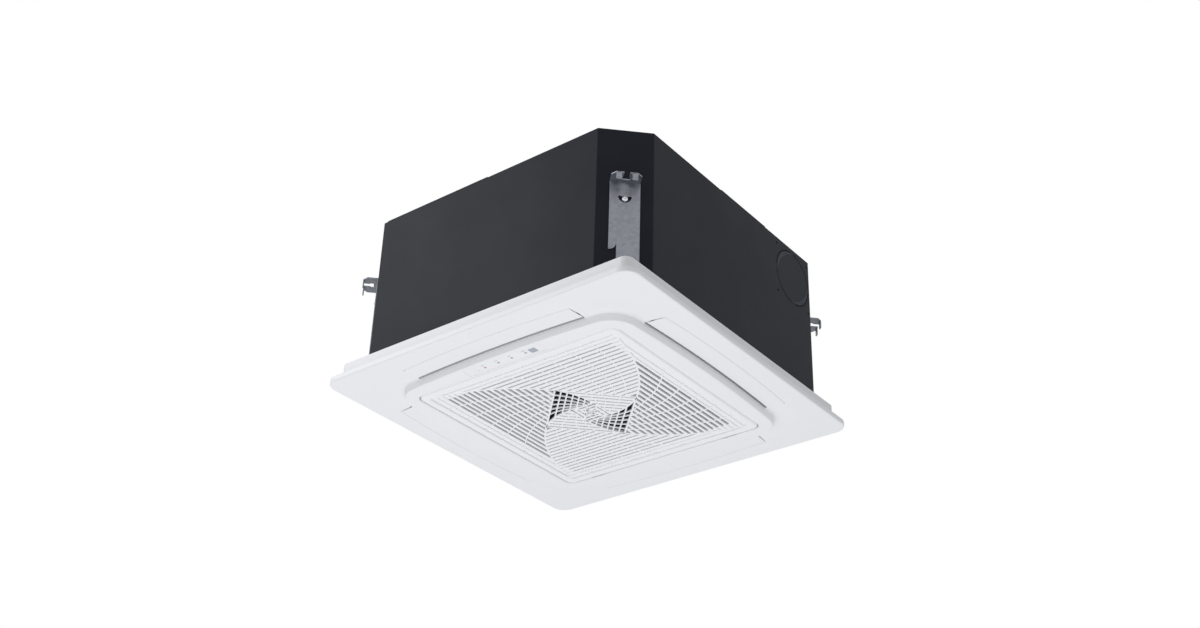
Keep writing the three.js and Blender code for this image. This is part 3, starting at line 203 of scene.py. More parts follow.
def banded(name, dark, light, rough, pitch_mm, direction, metal=0.0, depth_mm=0.3):
    """Fins or threads: even bands across one direction, the light bands their edges and the dark bands
    painted shade in the gaps between them.
    """
    material = node_material(name, light, rough, metal=metal)
    bands = texture_node(material, "ShaderNodeTexWave", bands_direction=direction,
                         Scale=1000 / pitch_mm / math.pi, Distortion=0.15)
    tint(material, bands.outputs["Fac"], dark, light, 0.15, 0.6)
    bump(material, bands.outputs["Fac"], depth_mm)
    return material


def circuit(name):
    """Solder mask with a faint pattern of tracks."""
    material = node_material(name, (0.03, 0.16, 0.07), 0.35, coat=0.3)
    tracks = texture_node(material, "ShaderNodeTexVoronoi", Scale=260.0, distance="MANHATTAN",
                          feature="DISTANCE_TO_EDGE")
    tint(material, tracks.outputs["Distance"], (0.10, 0.30, 0.14), (0.03, 0.16, 0.07), 0.02, 0.08)
    bump(material, tracks.outputs["Distance"], 0.05)
    return material


def woven(name):
    """Filter net: crossed threads."""
    material = node_material(name, (0.02, 0.022, 0.025), 0.9, spec=0.1)
    checks = texture_node(material, "ShaderNodeTexChecker", Scale=900.0)
    tint(material, checks.outputs["Fac"], (0.006, 0.0065, 0.008), (0.028, 0.03, 0.034), 0.0, 1.0)
    bump(material, checks.outputs["Fac"], 0.3)
    return material


WHITE = grained("panel_white", (0.83, 0.84, 0.86), 0.42, 0.7, 0.012, 0.006)
GRILLE_WHITE = grained("grille_white", (0.85, 0.86, 0.88), 0.45, 0.7, 0.012, 0.006)
CHARCOAL = grained("charcoal_sheet", (0.018, 0.020, 0.027), 0.4, 0.9, 0.06, 0.16, 0.08, spec=0.05)
ZINC = spangled("galvanised", (0.25, 0.265, 0.295), 0.45)
STEEL = brushed("steel", (0.72, 0.73, 0.75), 0.42, (1, 1, 8))
COPPER = brushed("copper", (0.72, 0.36, 0.22), 0.3, (8, 8, 1))
BRASS = brushed("brass", (0.74, 0.56, 0.26), 0.28, (6, 1, 1))
# The dark bands are painted shade in the gaps between the fins.
ALUMINIUM = banded("aluminium_fins", (0.12, 0.125, 0.13), (0.55, 0.56, 0.57), 0.4, 1.8, "DIAGONAL", 0.8)
FOAM = grained("black_foam", (0.016, 0.017, 0.018), 0.95, 1.6, 0.3, 0.3, 0.03, spec=0.1)
EPS = beaded("moulded_foam", (0.78, 0.79, 0.80), 0.85, 4.0, 0.35)
FAN_GREY = grained("fan_plastic", (0.62, 0.63, 0.64), 0.5, 0.8, 0.02, 0.02)
RUBBER = grained("rubber", (0.018, 0.018, 0.02), 0.8, 1.0, 0.06, 0.15, 0.05, spec=0.3)
BOARD = circuit("circuit_board")
WINDOW = grained("tinted_window", (0.40, 0.44, 0.50), 0.14, 0.5, 0.004, 0.04, 0.03, coat=0.5)
NET = woven("filter_mesh")
LENS_RED = grained("lamp_red", (0.62, 0.30, 0.34), 0.25, 0.4, 0.01, 0.05, 0.03)
LENS_GREY = grained("lamp_grey", (0.36, 0.39, 0.45), 0.25, 0.4, 0.01, 0.05, 0.03)
PRINT = grained("printed_marks", (0.42, 0.44, 0.48), 0.5, 0.4, 0.005, 0.05, 0.03)
# Painted sheen: lighter charcoal for the light caught where the knock-out disc's sheet bends.
PAINTED_SHEEN = grained("charcoal_painted_sheen", (0.052, 0.056, 0.072), 0.6, 0.9, 0.05, 0.14, 0.08, spec=0.1)

SLOT_MATERIAL = {
    "panel_white": WHITE, "grille_white": GRILLE_WHITE, "charcoal_sheet": CHARCOAL,
    "galvanised": ZINC, "steel": STEEL, "copper": COPPER, "brass": BRASS,
    "aluminium_fins": ALUMINIUM, "black_foam": FOAM, "moulded_foam": EPS,
    "fan_plastic": FAN_GREY, "rubber": RUBBER, "circuit_board": BOARD,
    "tinted_window": WINDOW, "filter_mesh": NET,
}


def dress_cad_nodes():
    for entry in frame["record"]["subparts"]:
        node = frame["nodes"][entry["node"]]
        node.data.materials.clear()
        node.data.materials.append(SLOT_MATERIAL[entry["material_slot"]])


# ------------------------------------------------------------------ mesh helpers
class Shape:
    """Closed shells gathered into one mesh, in millimetres."""

    def __init__(self):
        self.verts, self.faces = [], []

    def loft(self, rings, closed=False):
        base, count = len(self.verts), len(rings[0])
        for ring in rings:
            self.verts.extend(ring)
        last = len(rings) if closed else len(rings) - 1
        for r in range(last):
            a, b = base + r * count, base + (r + 1) % len(rings) * count
            for i in range(count):
                j = (i + 1) % count
                self.faces.append((a + i, a + j, b + j, b + i))
        if not closed:
            self.faces.append(tuple(base + i for i in reversed(range(count))))
            top = base + (len(rings) - 1) * count
            self.faces.append(tuple(top + i for i in range(count)))
        return self

    def prism(self, outline, z0, z1, edge=0.0):
        """Upright prism with both rims drawn in by edge."""
        inner = inset(outline, edge) if edge else outline
        rings = [[(x, y, z0) for x, y in inner]]
        if edge:
            rings += [[(x, y, z0 + edge) for x, y in outline], [(x, y, z1 - edge) for x, y in outline]]
        rings.append([(x, y, z1) for x, y in inner])
        return self.loft(rings)

    def box(self, x0, x1, y0, y1, z0, z1, edge=0.0):
        return self.prism([(x0, y0), (x1, y0), (x1, y1), (x0, y1)], z0, z1, edge)

    def rod(self, axis, a, b, radius, start, end, sides=24, edge=0.0):
        ring = circle(a, b, radius, sides)
        small = circle(a, b, radius - edge, sides)
        stops = [(small, start), (ring, start + edge), (ring, end - edge), (small, end)] if edge \
            else [(ring, start), (ring, end)]
        order = {"x": lambda p, t: (t, p[0], p[1]), "y": lambda p, t: (p[0], t, p[1]),
                 "z": lambda p, t: (p[0], p[1], t)}[axis]
        return self.loft([[order(p, t) for p in loop] for loop, t in stops])

    def tube(self, axis, a, b, outer, inner, start, end, sides=32, edge=0.3):
        order = {"x": lambda p, t: (t, p[0], p[1]), "z": lambda p, t: (p[0], p[1], t)}[axis]
        stops = [(outer - edge, start), (outer, start + edge), (outer, end - edge), (outer - edge, end),
                 (inner + edge, end), (inner, end - edge), (inner, start + edge), (inner + edge, start)]
        return self.loft([[order(p, t) for p in circle(a, b, r, sides)] for r, t in stops], closed=True)

    def turned(self, profile, centre=(0, 0), sides=64, closed=True):
        """Profile of (radius, z) pairs turned round an upright axis."""
        rings = [[(centre[0] + x, centre[1] + y, z) for x, y in circle(0, 0, r, sides)] for r, z in profile]
        return self.loft(rings, closed)

    def turn(self, degrees):
        c, s = math.cos(math.radians(degrees)), math.sin(math.radians(degrees))
        self.verts = [(x * c - y * s, x * s + y * c, z) for x, y, z in self.verts]
        return self

    def add(self, other):
        base = len(self.verts)
        self.verts.extend(other.verts)
        self.faces.extend(tuple(base + i for i in face) for face in other.faces)
        return self

    def object(self, name):
        mesh = bpy.data.meshes.new(name)
        mesh.from_pydata([[c * MM for c in v] for v in self.verts], [], self.faces)
        obj = bpy.data.objects.new(name, mesh)
        scene.collection.objects.link(obj)
        work = bmesh.new()
        work.from_mesh(mesh)
        bmesh.ops.recalc_face_normals(work, faces=work.faces)
        work.to_mesh(mesh)
        work.free()
        return obj


def circle(a, b, radius, sides=24):
    return [(a + radius * math.cos(2 * math.pi * (i + 0.5) / sides),
             b + radius * math.sin(2 * math.pi * (i + 0.5) / sides)) for i in range(sides)]


def inset(outline, by):
    """Outline moved inward by the same distance all round."""
    area = sum(a[0] * b[1] - b[0] * a[1] for a, b in zip(outline, outline[1:] + outline[:1]))
    turn = 1 if area > 0 else -1
    result = []
    for i, (x, y) in enumerate(outline):
        (px, py), (nx, ny) = outline[i - 1], outline[(i + 1) % len(outline)]
        d1 = Vector((x - px, y - py)).normalized()
        d2 = Vector((nx - x, ny - y)).normalized()
        n1, n2 = Vector((-d1.y, d1.x)) * turn, Vector((-d2.y, d2.x)) * turn
        both = n1 + n2
        both = both * (by * 2 / max(both.length_squared, 0.5))
        result.append((x + both.x, y + both.y))
    return result


def carve(obj, cutter):
    """Cuts the cutter's volume out of obj for good."""
    modifier = obj.modifiers.new("cut", "BOOLEAN")
    modifier.operation = "DIFFERENCE"
    modifier.solver = "EXACT"
    modifier.use_self = True
    modifier.object = cutter
    bpy.context.view_layer.update()
    shaped = obj.evaluated_get(bpy.context.evaluated_depsgraph_get())
    mesh = bpy.data.meshes.new_from_object(shaped)
    obj.modifiers.clear()
    obj.data = mesh
    bpy.data.objects.remove(cutter)
    return obj


def even_normals(obj):
    """Shades by face size, so that a large flat or gently curved face stays even beside a cut."""
    modifier = obj.modifiers.new("even", "WEIGHTED_NORMAL")
    modifier.keep_sharp = True
    bpy.context.view_layer.update()
    shaped = obj.evaluated_get(bpy.context.evaluated_depsgraph_get())
    mesh = bpy.data.meshes.new_from_object(shaped)
    obj.modifiers.clear()
    obj.data = mesh


def piece(obj, material, body, replaces=(), sharp=32):
    """Shades the piece, gives it its material and puts it on its body."""
    mesh = obj.data
    mesh.materials.clear()
    mesh.materials.append(material)
    mesh.polygons.foreach_set("material_index", [0] * len(mesh.polygons))
    mesh.polygons.foreach_set("use_smooth", [True] * len(mesh.polygons))
    mesh.set_sharp_from_angle(angle=math.radians(sharp))
    mesh.update()
    even_normals(obj)
    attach(obj, body)
    if replaces:
        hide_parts(*replaces)
    return obj


def join_into(target, *others):
    """Adds the meshes of others to target."""
    work = bmesh.new()
    work.from_mesh(target.data)
    for other in others:
        work.from_mesh(other.data)
        bpy.data.objects.remove(other)
    work.to_mesh(target.data)
    work.free()
    return target


# ------------------------------------------------------------------ outlines
def bow_radius(mid, corner, radius):
    centre = corner - radius
    set_in = centre - mid
    return (radius ** 2 - set_in ** 2 - centre ** 2) / (2 * (set_in + radius))


def bowed_side(mid, corner, radius):
    long = bow_radius(mid, corner, radius)
    return lambda x: mid - (long - math.sqrt(long ** 2 - x ** 2))


def bowed_square(mid, corner, radius, per_side=16, per_corner=10):
    centre = corner - radius
    bowed = mid - corner > 0.01
    long = bow_radius(mid, corner, radius) if bowed else 0
    lean = math.atan2(centre, centre + long - mid) if bowed else 0
    side = []
    for i in range(per_side):
        share = 2 * i / per_side - 1
        if bowed:
            side.append((long * math.sin(share * lean), long - mid - long * math.cos(share * lean)))
        else:
            side.append((share * centre, -mid))
    for i in range(per_corner):
        angle = -math.pi / 2 + lean + (math.pi / 2 - 2 * lean) * i / per_corner
        side.append((centre + radius * math.cos(angle), -centre + radius * math.sin(angle)))
    turns = [lambda x, y: (x, y), lambda x, y: (-y, x), lambda x, y: (-x, -y), lambda x, y: (y, -x)]
    return [turn(x, y) for turn in turns for x, y in side]


def rounded_square(half, radius, per_corner=10, per_side=1):
    return bowed_square(half, half, radius, per_side, per_corner)


def chamfered_square(half, chamfer, radius=0.0, steps=1):
    c = half - chamfer
    corners = [(-c, -half), (c, -half), (half, -c), (half, c),
               (c, half), (-c, half), (-half, c), (-half, -c)]
    return rounded_outline(corners, radius, steps) if radius else corners


def rounded_outline(corners, radius, steps=4):
    """Polygon with every corner rounded."""
    result = []
    for i, point in enumerate(corners):
        p, a, b = Vector(point), Vector(corners[i - 1]), Vector(corners[(i + 1) % len(corners)])
        d1, d2 = (a - p).normalized(), (b - p).normalized()
        half = math.acos(max(-1, min(1, d1.dot(d2)))) / 2
        reach = min(radius / math.tan(half), (a - p).length * 0.45, (b - p).length * 0.45)
        start, end = p + d1 * reach, p + d2 * reach
        for k in range(steps + 1):
            t = k / steps
            result.append(tuple((1 - t) ** 2 * start + 2 * t * (1 - t) * p + t ** 2 * end))
    return result


# ------------------------------------------------------------------ decorative panel
def panel_shell():
    def ring(mid, corner, radius, z):
        return [(x, y, z) for x, y in bowed_square(mid, corner, radius)]

    def straight(half, radius, z):
        return ring(half, half, max(radius, 0.5), z)

    def bowed(grow, z):
        return ring(RING_MID + grow, RING_CORNER + grow, RING_RADIUS + grow, z)

    def valley(share, z):
        """Share 0 lies at the foot of the ring wall, 1 at the outer face."""
        foot = (RING_MID + 1.3, RING_CORNER + 1.3, RING_RADIUS + 1.3)
        out = (VALLEY_OUT_MID, VALLEY_OUT_CORNER, VALLEY_OUT_RADIUS)
        return ring(*[a + (b - a) * share for a, b in zip(foot, out)], z)

    def rounding(half, radius, centre_z, r, start, end, steps=6):
        """Ring profile round a corner, from angle start to end in degrees, 0 outward and -90 down."""
        rings = []
        for i in range(steps + 1):
            a = math.radians(start + (end - start) * i / steps)
            out = r * math.cos(a) - r
            rings.append(straight(half + out, radius + out, centre_z + r * math.sin(a)))
        return rings

    rings = [
        straight(RING_INNER, RING_INNER_R, 2.2),
        straight(RING_INNER + 0.35, RING_INNER_R + 0.35, 1.0),
        straight(RING_INNER + 1.2, RING_INNER_R + 1.2, 0.2),
        straight(RING_INNER + 2.2, RING_INNER_R + 2.2, 0),
        bowed(-3.4, 0), bowed(-1.9, 0.25), bowed(-0.7, 0.9), bowed(0, 2.2),
        bowed(0.9, 10.5), bowed(1.5, 12.6), valley(0.05, 13.6), valley(0.12, VALLEY_Z),
        valley(0.45, 13.4), valley(0.75, 12.2), valley(0.93, 11.3), valley(1.04, FACE_Z),
        straight(PANEL_HALF - 8, PANEL_RADIUS - 8, FACE_Z - 0.2),
    ]
    rings += rounding(PANEL_HALF, PANEL_RADIUS, FACE_Z - 0.2 + EDGE_R, EDGE_R, -90, 0, 6)
    rings += [
        straight(PANEL_HALF, PANEL_RADIUS, RIM_Z - 1.4),
        straight(PANEL_HALF - 0.5, PANEL_RADIUS - 0.5, RIM_Z - 0.4),
        straight(PANEL_HALF - 1.6, PANEL_RADIUS - 1.6, RIM_Z),
        straight(SKIRT_HALF + 0.8, SKIRT_RADIUS + 0.8, RIM_Z),
        straight(SKIRT_HALF, SKIRT_RADIUS, RIM_Z + 0.8),
        straight(SKIRT_HALF, SKIRT_RADIUS, SKIRT_TOP - 0.8),
        straight(SKIRT_HALF - 0.8, SKIRT_RADIUS - 0.8, SKIRT_TOP),
        straight(SKIRT_HALF - WALL, SKIRT_RADIUS - WALL, SKIRT_TOP),
        straight(SKIRT_HALF - WALL, SKIRT_RADIUS - WALL, FACE_Z + WALL + 0.4),
        valley(1.0, FACE_Z + WALL + 0.2),
        bowed(-1.7, VALLEY_Z + WALL), bowed(-WALL, WALL),
        straight(RING_INNER + WALL, RING_INNER_R + WALL, WALL),
        straight(RING_INNER + WALL, RING_INNER_R + WALL, FLANGE_Z + FLANGE_THICK),
        straight(FLANGE_HALF, FLANGE_RADIUS, FLANGE_Z + FLANGE_THICK),
        straight(FLANGE_HALF, FLANGE_RADIUS, FLANGE_Z),
        straight(RING_INNER, RING_INNER_R, FLANGE_Z),
    ]
    return Shape().loft(rings, closed=True)


def outlet_plan(steps=14):
    inner = bowed_side(RING_MID + 1.6, RING_CORNER + 1.6, RING_RADIUS + 1.6)
    outer = bowed_side(VALLEY_OUT_MID, VALLEY_OUT_CORNER, VALLEY_OUT_RADIUS)
    places = [-OUTLET_HALF + 2 * OUTLET_HALF * i / steps for i in range(steps + 1)]
    return [(x, -outer(x)) for x in places] + [(x, -inner(x)) for x in reversed(places)]


def rectangle_ring(x, y0, y1, wall, z0, z1):
    """Four walls round a rectangle, as one closed shell."""

    def loop(by, z):
        return [(-x + by, y0 + by, z), (x - by, y0 + by, z), (x - by, y1 - by, z), (-x + by, y1 - by, z)]
    return Shape().loft([loop(0, z0), loop(0, z1), loop(wall, z1), loop(wall, z0)], closed=True)


BOLT_HOLE_R = 2.8
POCKET_DEPTH, POCKET_CORNER = 1.5, 2.2
LATCH_PLAY, LATCH_HEADROOM = 1, 0.5
ARM_OUT, ARM_THICK = 13, 3
POST_X, POST_R = 66, 3


def panel_cuts():
    """Outlets, bolt holes, display pocket, button hole, latch slots and pips."""
    cuts = Shape()
    flange_corner = FLANGE_HALF - FLANGE_RADIUS * (1 - math.sqrt(0.5))
    bolt = (flange_corner + RING_INNER - RING_INNER_R * 0.29) / 2
    for turn in SIDES:
        cuts.add(Shape().prism(outlet_plan(), 0, VALLEY_Z + 2 * WALL).turn(turn))
        cuts.add(Shape().rod("z", bolt, -bolt, BOLT_HOLE_R, FLANGE_Z - 1,
                             FLANGE_Z + FLANGE_THICK + 1).turn(turn))
    half, deep = DISPLAY_HALF + GAP, DISPLAY_DEEP / 2 + GAP
    pocket = [(-half, -DISPLAY_D - deep), (half, -DISPLAY_D - deep),
              (half, -DISPLAY_D + deep), (-half, -DISPLAY_D + deep)]
    cuts.add(Shape().prism(rounded_outline(pocket, POCKET_CORNER), -1, POCKET_DEPTH))
    cuts.add(Shape().rod("z", BUTTON_X, -DISPLAY_D, BUTTON_R + GAP, -1, WALL + 1))
    reach = LATCH_W / 2 + LATCH_PLAY
    for s in (-1, 1):
        cuts.add(Shape().box(s * LATCH_X - reach, s * LATCH_X + reach,
                             -RING_INNER - WALL - 1, -RING_INNER + 1, LATCH_Z0 - LATCH_HEADROOM, LATCH_Z0 + LATCH_THICK + LATCH_HEADROOM))
    return cuts.add(pips())


def panel_rest():
    """Ducts over the outlets, hinge arms and the posts behind the display."""
    rest = Shape()
    for turn in SIDES:
        duct = rectangle_ring(DUCT_END, -DUCT_OUT, -DUCT_IN, DUCT_WALL, VALLEY_Z + 1.5, SKIRT_TOP)
        rest.add(duct.turn(turn))
    for s in (-1, 1):
        x = s * HINGE_X
        for start in (x - ARM_OUT, x + ARM_OUT - ARM_THICK):
            end = start + ARM_THICK
            rest.box(start, end, HINGE_D - HINGE_EYE_R, HINGE_D + HINGE_EYE_R, HINGE_Z, FLANGE_Z + 1)
            rest.rod("x", HINGE_D, HINGE_Z, HINGE_EYE_R, start, end)
        rest.rod("z", s * POST_X, -DISPLAY_D, POST_R, WALL - 1, BOARD_Z - GAP)
    return rest


def build_panel():
    panel = panel_shell().object("panel_frame_skin")
    carve(panel, panel_cuts().object("panel_cuts"))
    join_into(panel, panel_rest().object("panel_rest"))
    piece(panel, WHITE, "unit_body", ["panel_frame"])


PIP_D, PIP_PITCH, PIP_R = 301, 10, 1.5


def pips():
    """Small dimples near the rim that number the four outlets."""
    shape = Shape()
    for count, turn in enumerate(SIDES, 1):
        for k in range(count):
            x = (k - (count - 1) / 2) * PIP_PITCH
            shape.add(Shape().rod("z", x, -PIP_D, PIP_R, FACE_Z - 2, FACE_Z + 0.5).turn(turn))
    return shape


# ------------------------------------------------------------------ louvres
SECTION_STEPS, LOUVRE_SWEEP = 8, 2.2
EAR_THICK, EAR_R = 3, 5


def build_louvre(index, turn, steps=40):
    inner = bowed_side(LOUVRE_IN_MID, LOUVRE_IN_CORNER, RING_RADIUS + 6)
    outer = bowed_side(LOUVRE_OUT_MID, LOUVRE_OUT_CORNER, VALLEY_OUT_RADIUS - 1)
    rings = []
    for i in range(steps + 1):
        x = -LOUVRE_HALF + 2 * LOUVRE_HALF * i / steps
        near, far = inner(x), outer(x)
        under, over = [], []
        for k in range(SECTION_STEPS + 1):
            t = k / SECTION_STEPS
            d = far + (near - far) * t
            z = FACE_Z + LOUVRE_LIFT * t ** LOUVRE_SWEEP
            under.append((d, z))
            over.append((d, z + LOUVRE_THICK))
        edge = [(near - 0.5, FACE_Z + LOUVRE_LIFT + 0.9), (near - 0.5, FACE_Z + LOUVRE_LIFT + 1.6)]
        lip = [(far + 0.4, FACE_Z + 1.7), (far + 0.4, FACE_Z + 0.8)]
        rings.append([(x, -d, z) for d, z in under + edge + over[::-1] + lip])
    shape = Shape().loft(rings)
    for s in (-1, 1):
        start, end = sorted((s * LOUVRE_HALF, s * (LOUVRE_HALF - EAR_THICK)))
        shape.box(start, end, -LOUVRE_AXIS_D - EAR_R, -LOUVRE_AXIS_D + EAR_R, FACE_Z + 2, LOUVRE_AXIS_Z)
        shape.rod("x", -LOUVRE_AXIS_D, LOUVRE_AXIS_Z, EAR_R, start, end)
        reach = DUCT_END + (0.5 if s < 0 else GAP + 6)
        pin = sorted((s * reach, s * (LOUVRE_HALF - 2)))
        shape.rod("x", -LOUVRE_AXIS_D, LOUVRE_AXIS_Z, LOUVRE_PIN_R, *pin)
    obj = shape.turn(turn).object(f"louvre_{index}_blade")
    piece(obj, WHITE, f"louvre_{index}_body", [f"louvre_{index}"], 40)


# ------------------------------------------------------------------ spiral grille
class Arc:
    """Arc from p to q through the spiral's turn, clockwise seen from below."""

    def __init__(self, p, q, turn=SPIRAL_TURN):
        half = math.radians(turn) / 2
        dx, dy = q[0] - p[0], q[1] - p[1]
        chord = math.hypot(dx, dy)
        self.p, self.q, self.turn = p, q, math.radians(turn)
        self.radius = chord / (2 * math.sin(half))
        rise = self.radius * math.cos(half)
        self.centre = ((p[0] + q[0]) / 2 - dy / chord * rise, (p[1] + q[1]) / 2 + dx / chord * rise)

    def points(self, count):
        start = math.atan2(self.p[1] - self.centre[1], self.p[0] - self.centre[0])
        return [(self.centre[0] + self.radius * math.cos(start + self.turn * i / (count - 1)),
                 self.centre[1] + self.radius * math.sin(start + self.turn * i / (count - 1)))
                for i in range(count)]

    def crossing(self, v):
        """Place along the row at v, on the stretch between p and q."""
        reach = math.sqrt(max(self.radius ** 2 - (v - self.centre[1]) ** 2, 0))
        low, high = min(self.p[0], self.q[0]) - 8, max(self.p[0], self.q[0]) + 8
        for u in (self.centre[0] - reach, self.centre[0] + reach):
            if low <= u <= high:
                return u
        return None


def strip(points, width, z0, z1, edge=0.4):
    """Rib that follows a line of points."""
    rings = []
    for i, (x, y) in enumerate(points):
        ax, ay = points[min(i + 1, len(points) - 1)]
        bx, by = points[max(i - 1, 0)]
        along = Vector((ax - bx, ay - by)).normalized()
        nx, ny = -along.y, along.x
        w = width / 2
        section = [(-w, z1), (-w, z0 + edge), (-w + edge, z0), (w - edge, z0), (w, z0 + edge), (w, z1)]
        rings.append([(x + nx * s, y + ny * s, z) for s, z in section])
    return Shape().loft(rings)


def sector(half, pitch, opening, shares, z0, z1):
    """Slats and ribs of the sector at the -Y side of one spiral square."""
    eye = half * math.sqrt(2) * EYE_RATIO
    bound = Arc((-half, -half), (0, -eye))
    after = Arc((half, -half), (eye, 0))
    shape = Shape()

    def place(arc, v):
        if v > arc.q[1] - 1e-6:
            return v + eye
        found = arc.crossing(v)
        return v + eye if found is None else found

    v = -half + FIRST_ROW
    while v + pitch < -SPINE / 2:
        a, b = v + opening, v + pitch
        rows = [(a, z1), (a, z0 + 0.9), (a + 0.3, z0 + 0.3), (a + 0.9, z0),
                (b - 0.9, z0), (b - 0.3, z0 + 0.3), (b, z0 + 0.9), (b, z1)]
        left = [(place(bound, y) - 0.3, y, z) for y, z in rows]
        right = [(place(after, y) + 0.3, y, z) for y, z in rows]
        if min(r[0] - l[0] for l, r in zip(left, right)) > 1:
            shape.loft([left, right])
        v += pitch
    for share in shares:
        rib = Arc((half - 2 * half * share, -half), (eye * (1 - share), -eye * share))
        shape.add(strip(rib.points(24), RIB, z0 - 0.3, z1 - 0.6, 0.5))
    shape.add(strip(bound.points(28), SPINE, z0 - 0.2, z1, 0.6))
    shape.add(strip([(0, -eye), (eye, 0)], SPINE, z0 - 0.2, z1, 0.6))
    return shape


INNER_SHARES = (0.2, 0.42, 0.64)
# Pitch, narrow opening and rib shares of each spiral square, from the outermost inward.
SQUARES = ((SLAT_PITCH, NARROW_OPENING, RIB_SHARES), (SLAT_PITCH, NARROW_OPENING, INNER_SHARES),
           (8.2, 2.6, (0.35,)), (5.4, 2.4, ()))
FACE_CORNER_R = 3
RELIEF_D, RELIEF_Z = GRILLE_HALF - 5, 5.5
KNUCKLE_HALF, KNUCKLE_R, KNUCKLE_IN, KNUCKLE_Z0 = 9, 3.2, 6.2, 0.8


def grille_ring():
    """Frame of the grille, cut out for the hinge arms and relieved at its swinging corners."""

    def ring(half, radius, z):
        return [(x, y, z) for x, y in rounded_square(half, radius)]

    def inward(by, z):
        return ring(GRILLE_HALF - by, GRILLE_RADIUS - by, z)

    def face(by, z):
        return ring(FIELD_HALF + by, FACE_CORNER_R + by, z)

    frame_ring = Shape().loft([
        face(0, GRILLE_DEEP), face(0, 1.4), face(0.4, 0.5), face(1.4, 0),
        inward(3.2, 0), inward(2.2, 0.65), inward(0.65, 2.2), inward(0, 3.2), inward(0, GRILLE_DEEP),
    ], closed=True).object("grille_ring")
    room = Shape()
    for s in (-1, 1):
        x = s * HINGE_X
        room.box(x - HINGE_ROOM, x + HINGE_ROOM, HINGE_D - HINGE_EYE_R - 2.3, GRILLE_HALF + 1,
                 HINGE_Z - HINGE_EYE_R - GAP, GRILLE_DEEP + 1)
        x0, x1 = sorted((s * RELIEF_X, s * (GRILLE_HALF + 1)))
        room.box(x0, x1, RELIEF_D, GRILLE_HALF + 1, RELIEF_Z, GRILLE_DEEP + 1)
    return carve(frame_ring, room.object("hinge_room"))


def grille_field():
    """Spiral squares one inside the other: bright sectors face -Y and +Y, dark ones -X and +X."""
    shape = Shape()
    half, turn = FIELD_HALF, 0
    for level, (pitch, narrow, shares) in enumerate(SQUARES):
        bright = sector(half, pitch, narrow, shares, FIELD_Z0, FIELD_Z0 + SLAT_DEEP)
        if level == 1:
            dark = sector(half, pitch, EYE_OPENING, EYE_SHARES, FIELD_Z0, FIELD_Z0 + EYE_DEEP)
        else:
            dark = sector(half, pitch, min(SLAT_OPENING, pitch / 2), shares, FIELD_Z0, FIELD_Z0 + SLAT_DEEP)
        for side in SIDES:
            shape.add(Shape().add(bright if side in (0, 180) else dark).turn(side + turn))
        half = half * EYE_RATIO
        turn += 45
    hub = [(-half, -half), (half, -half), (half, half), (-half, half)]
    return shape.add(Shape().prism(rounded_outline(hub, 1), FIELD_Z0 - 0.2, FIELD_Z1, 0.5).turn(turn))


def grille_back():
    """Ledge that closes the two outermost rows behind, and the hinge knuckles."""
    ledge = rounded_square(FIELD_HALF + 0.5, FACE_CORNER_R)
    inner = rounded_square(FIELD_HALF - 2 * SLAT_PITCH, 1)
    stops = ((ledge, LEDGE_Z), (ledge, FIELD_Z1), (inner, FIELD_Z1), (inner, LEDGE_Z))
    shape = Shape().loft([[(x, y, z) for x, y in loop] for loop, z in stops], closed=True)
    for s in (-1, 1):
        x0, x1 = s * HINGE_X - KNUCKLE_HALF, s * HINGE_X + KNUCKLE_HALF
        shape.box(x0, x1, HINGE_D - KNUCKLE_IN, HINGE_D - HINGE_PIN_R - 0.8, KNUCKLE_Z0, HINGE_Z + 3)
        shape.tube("x", HINGE_D, HINGE_Z, KNUCKLE_R, HINGE_PIN_R + GAP, x0, x1)
    return shape


def build_grille():
    grille = grille_ring()
    join_into(grille, grille_field().add(grille_back()).object("grille_field"))
    grille.name = "intake_grille_body"
    piece(grille, GRILLE_WHITE, "grille_body", ["intake_grille"], 40)


FILTER_RADIUS, FILTER_RIM, FILTER_DEEP, FILTER_CELLS = 22, 8, 3.5, 8


def build_filter():
    z0 = FIELD_Z1 + GAP
    reach = FILTER_HALF - FILTER_RIM
    outer = rounded_square(FILTER_HALF, FILTER_RADIUS)
    inner = rounded_square(reach, FILTER_RADIUS - FILTER_RIM)
    stops = ((outer, z0), (outer, z0 + FILTER_DEEP), (inner, z0 + FILTER_DEEP), (inner, z0))
    shape = Shape().loft([[(x, y, z) for x, y in loop] for loop, z in stops], closed=True)
    for k in range(1, FILTER_CELLS):
        at = -reach + 2 * reach * k / FILTER_CELLS
        shape.box(at - 1, at + 1, -reach, reach, z0 + 0.6, z0 + 3.2, 0.3)
        shape.box(-reach, reach, at - 1, at + 1, z0 + 0.8, z0 + 3.0, 0.3)
    shape.prism(rounded_square(FILTER_HALF - 7, 15), z0 + 1.7, z0 + 2.1)
    piece(shape.object("air_filter_net"), NET, "grille_body", ["air_filter"])


# ------------------------------------------------------------------ display strip
LAMPS_X = (-40, -12.5, 14.5, 42.6)
LAMP_R = 2.3
MARK_D, MARK_DEEP, MARK_W, LAST_MARK_W = 225.2, 1.5, 5.5, 8
PLATE_Z0, PLATE_Z1 = 0.05, 1.2


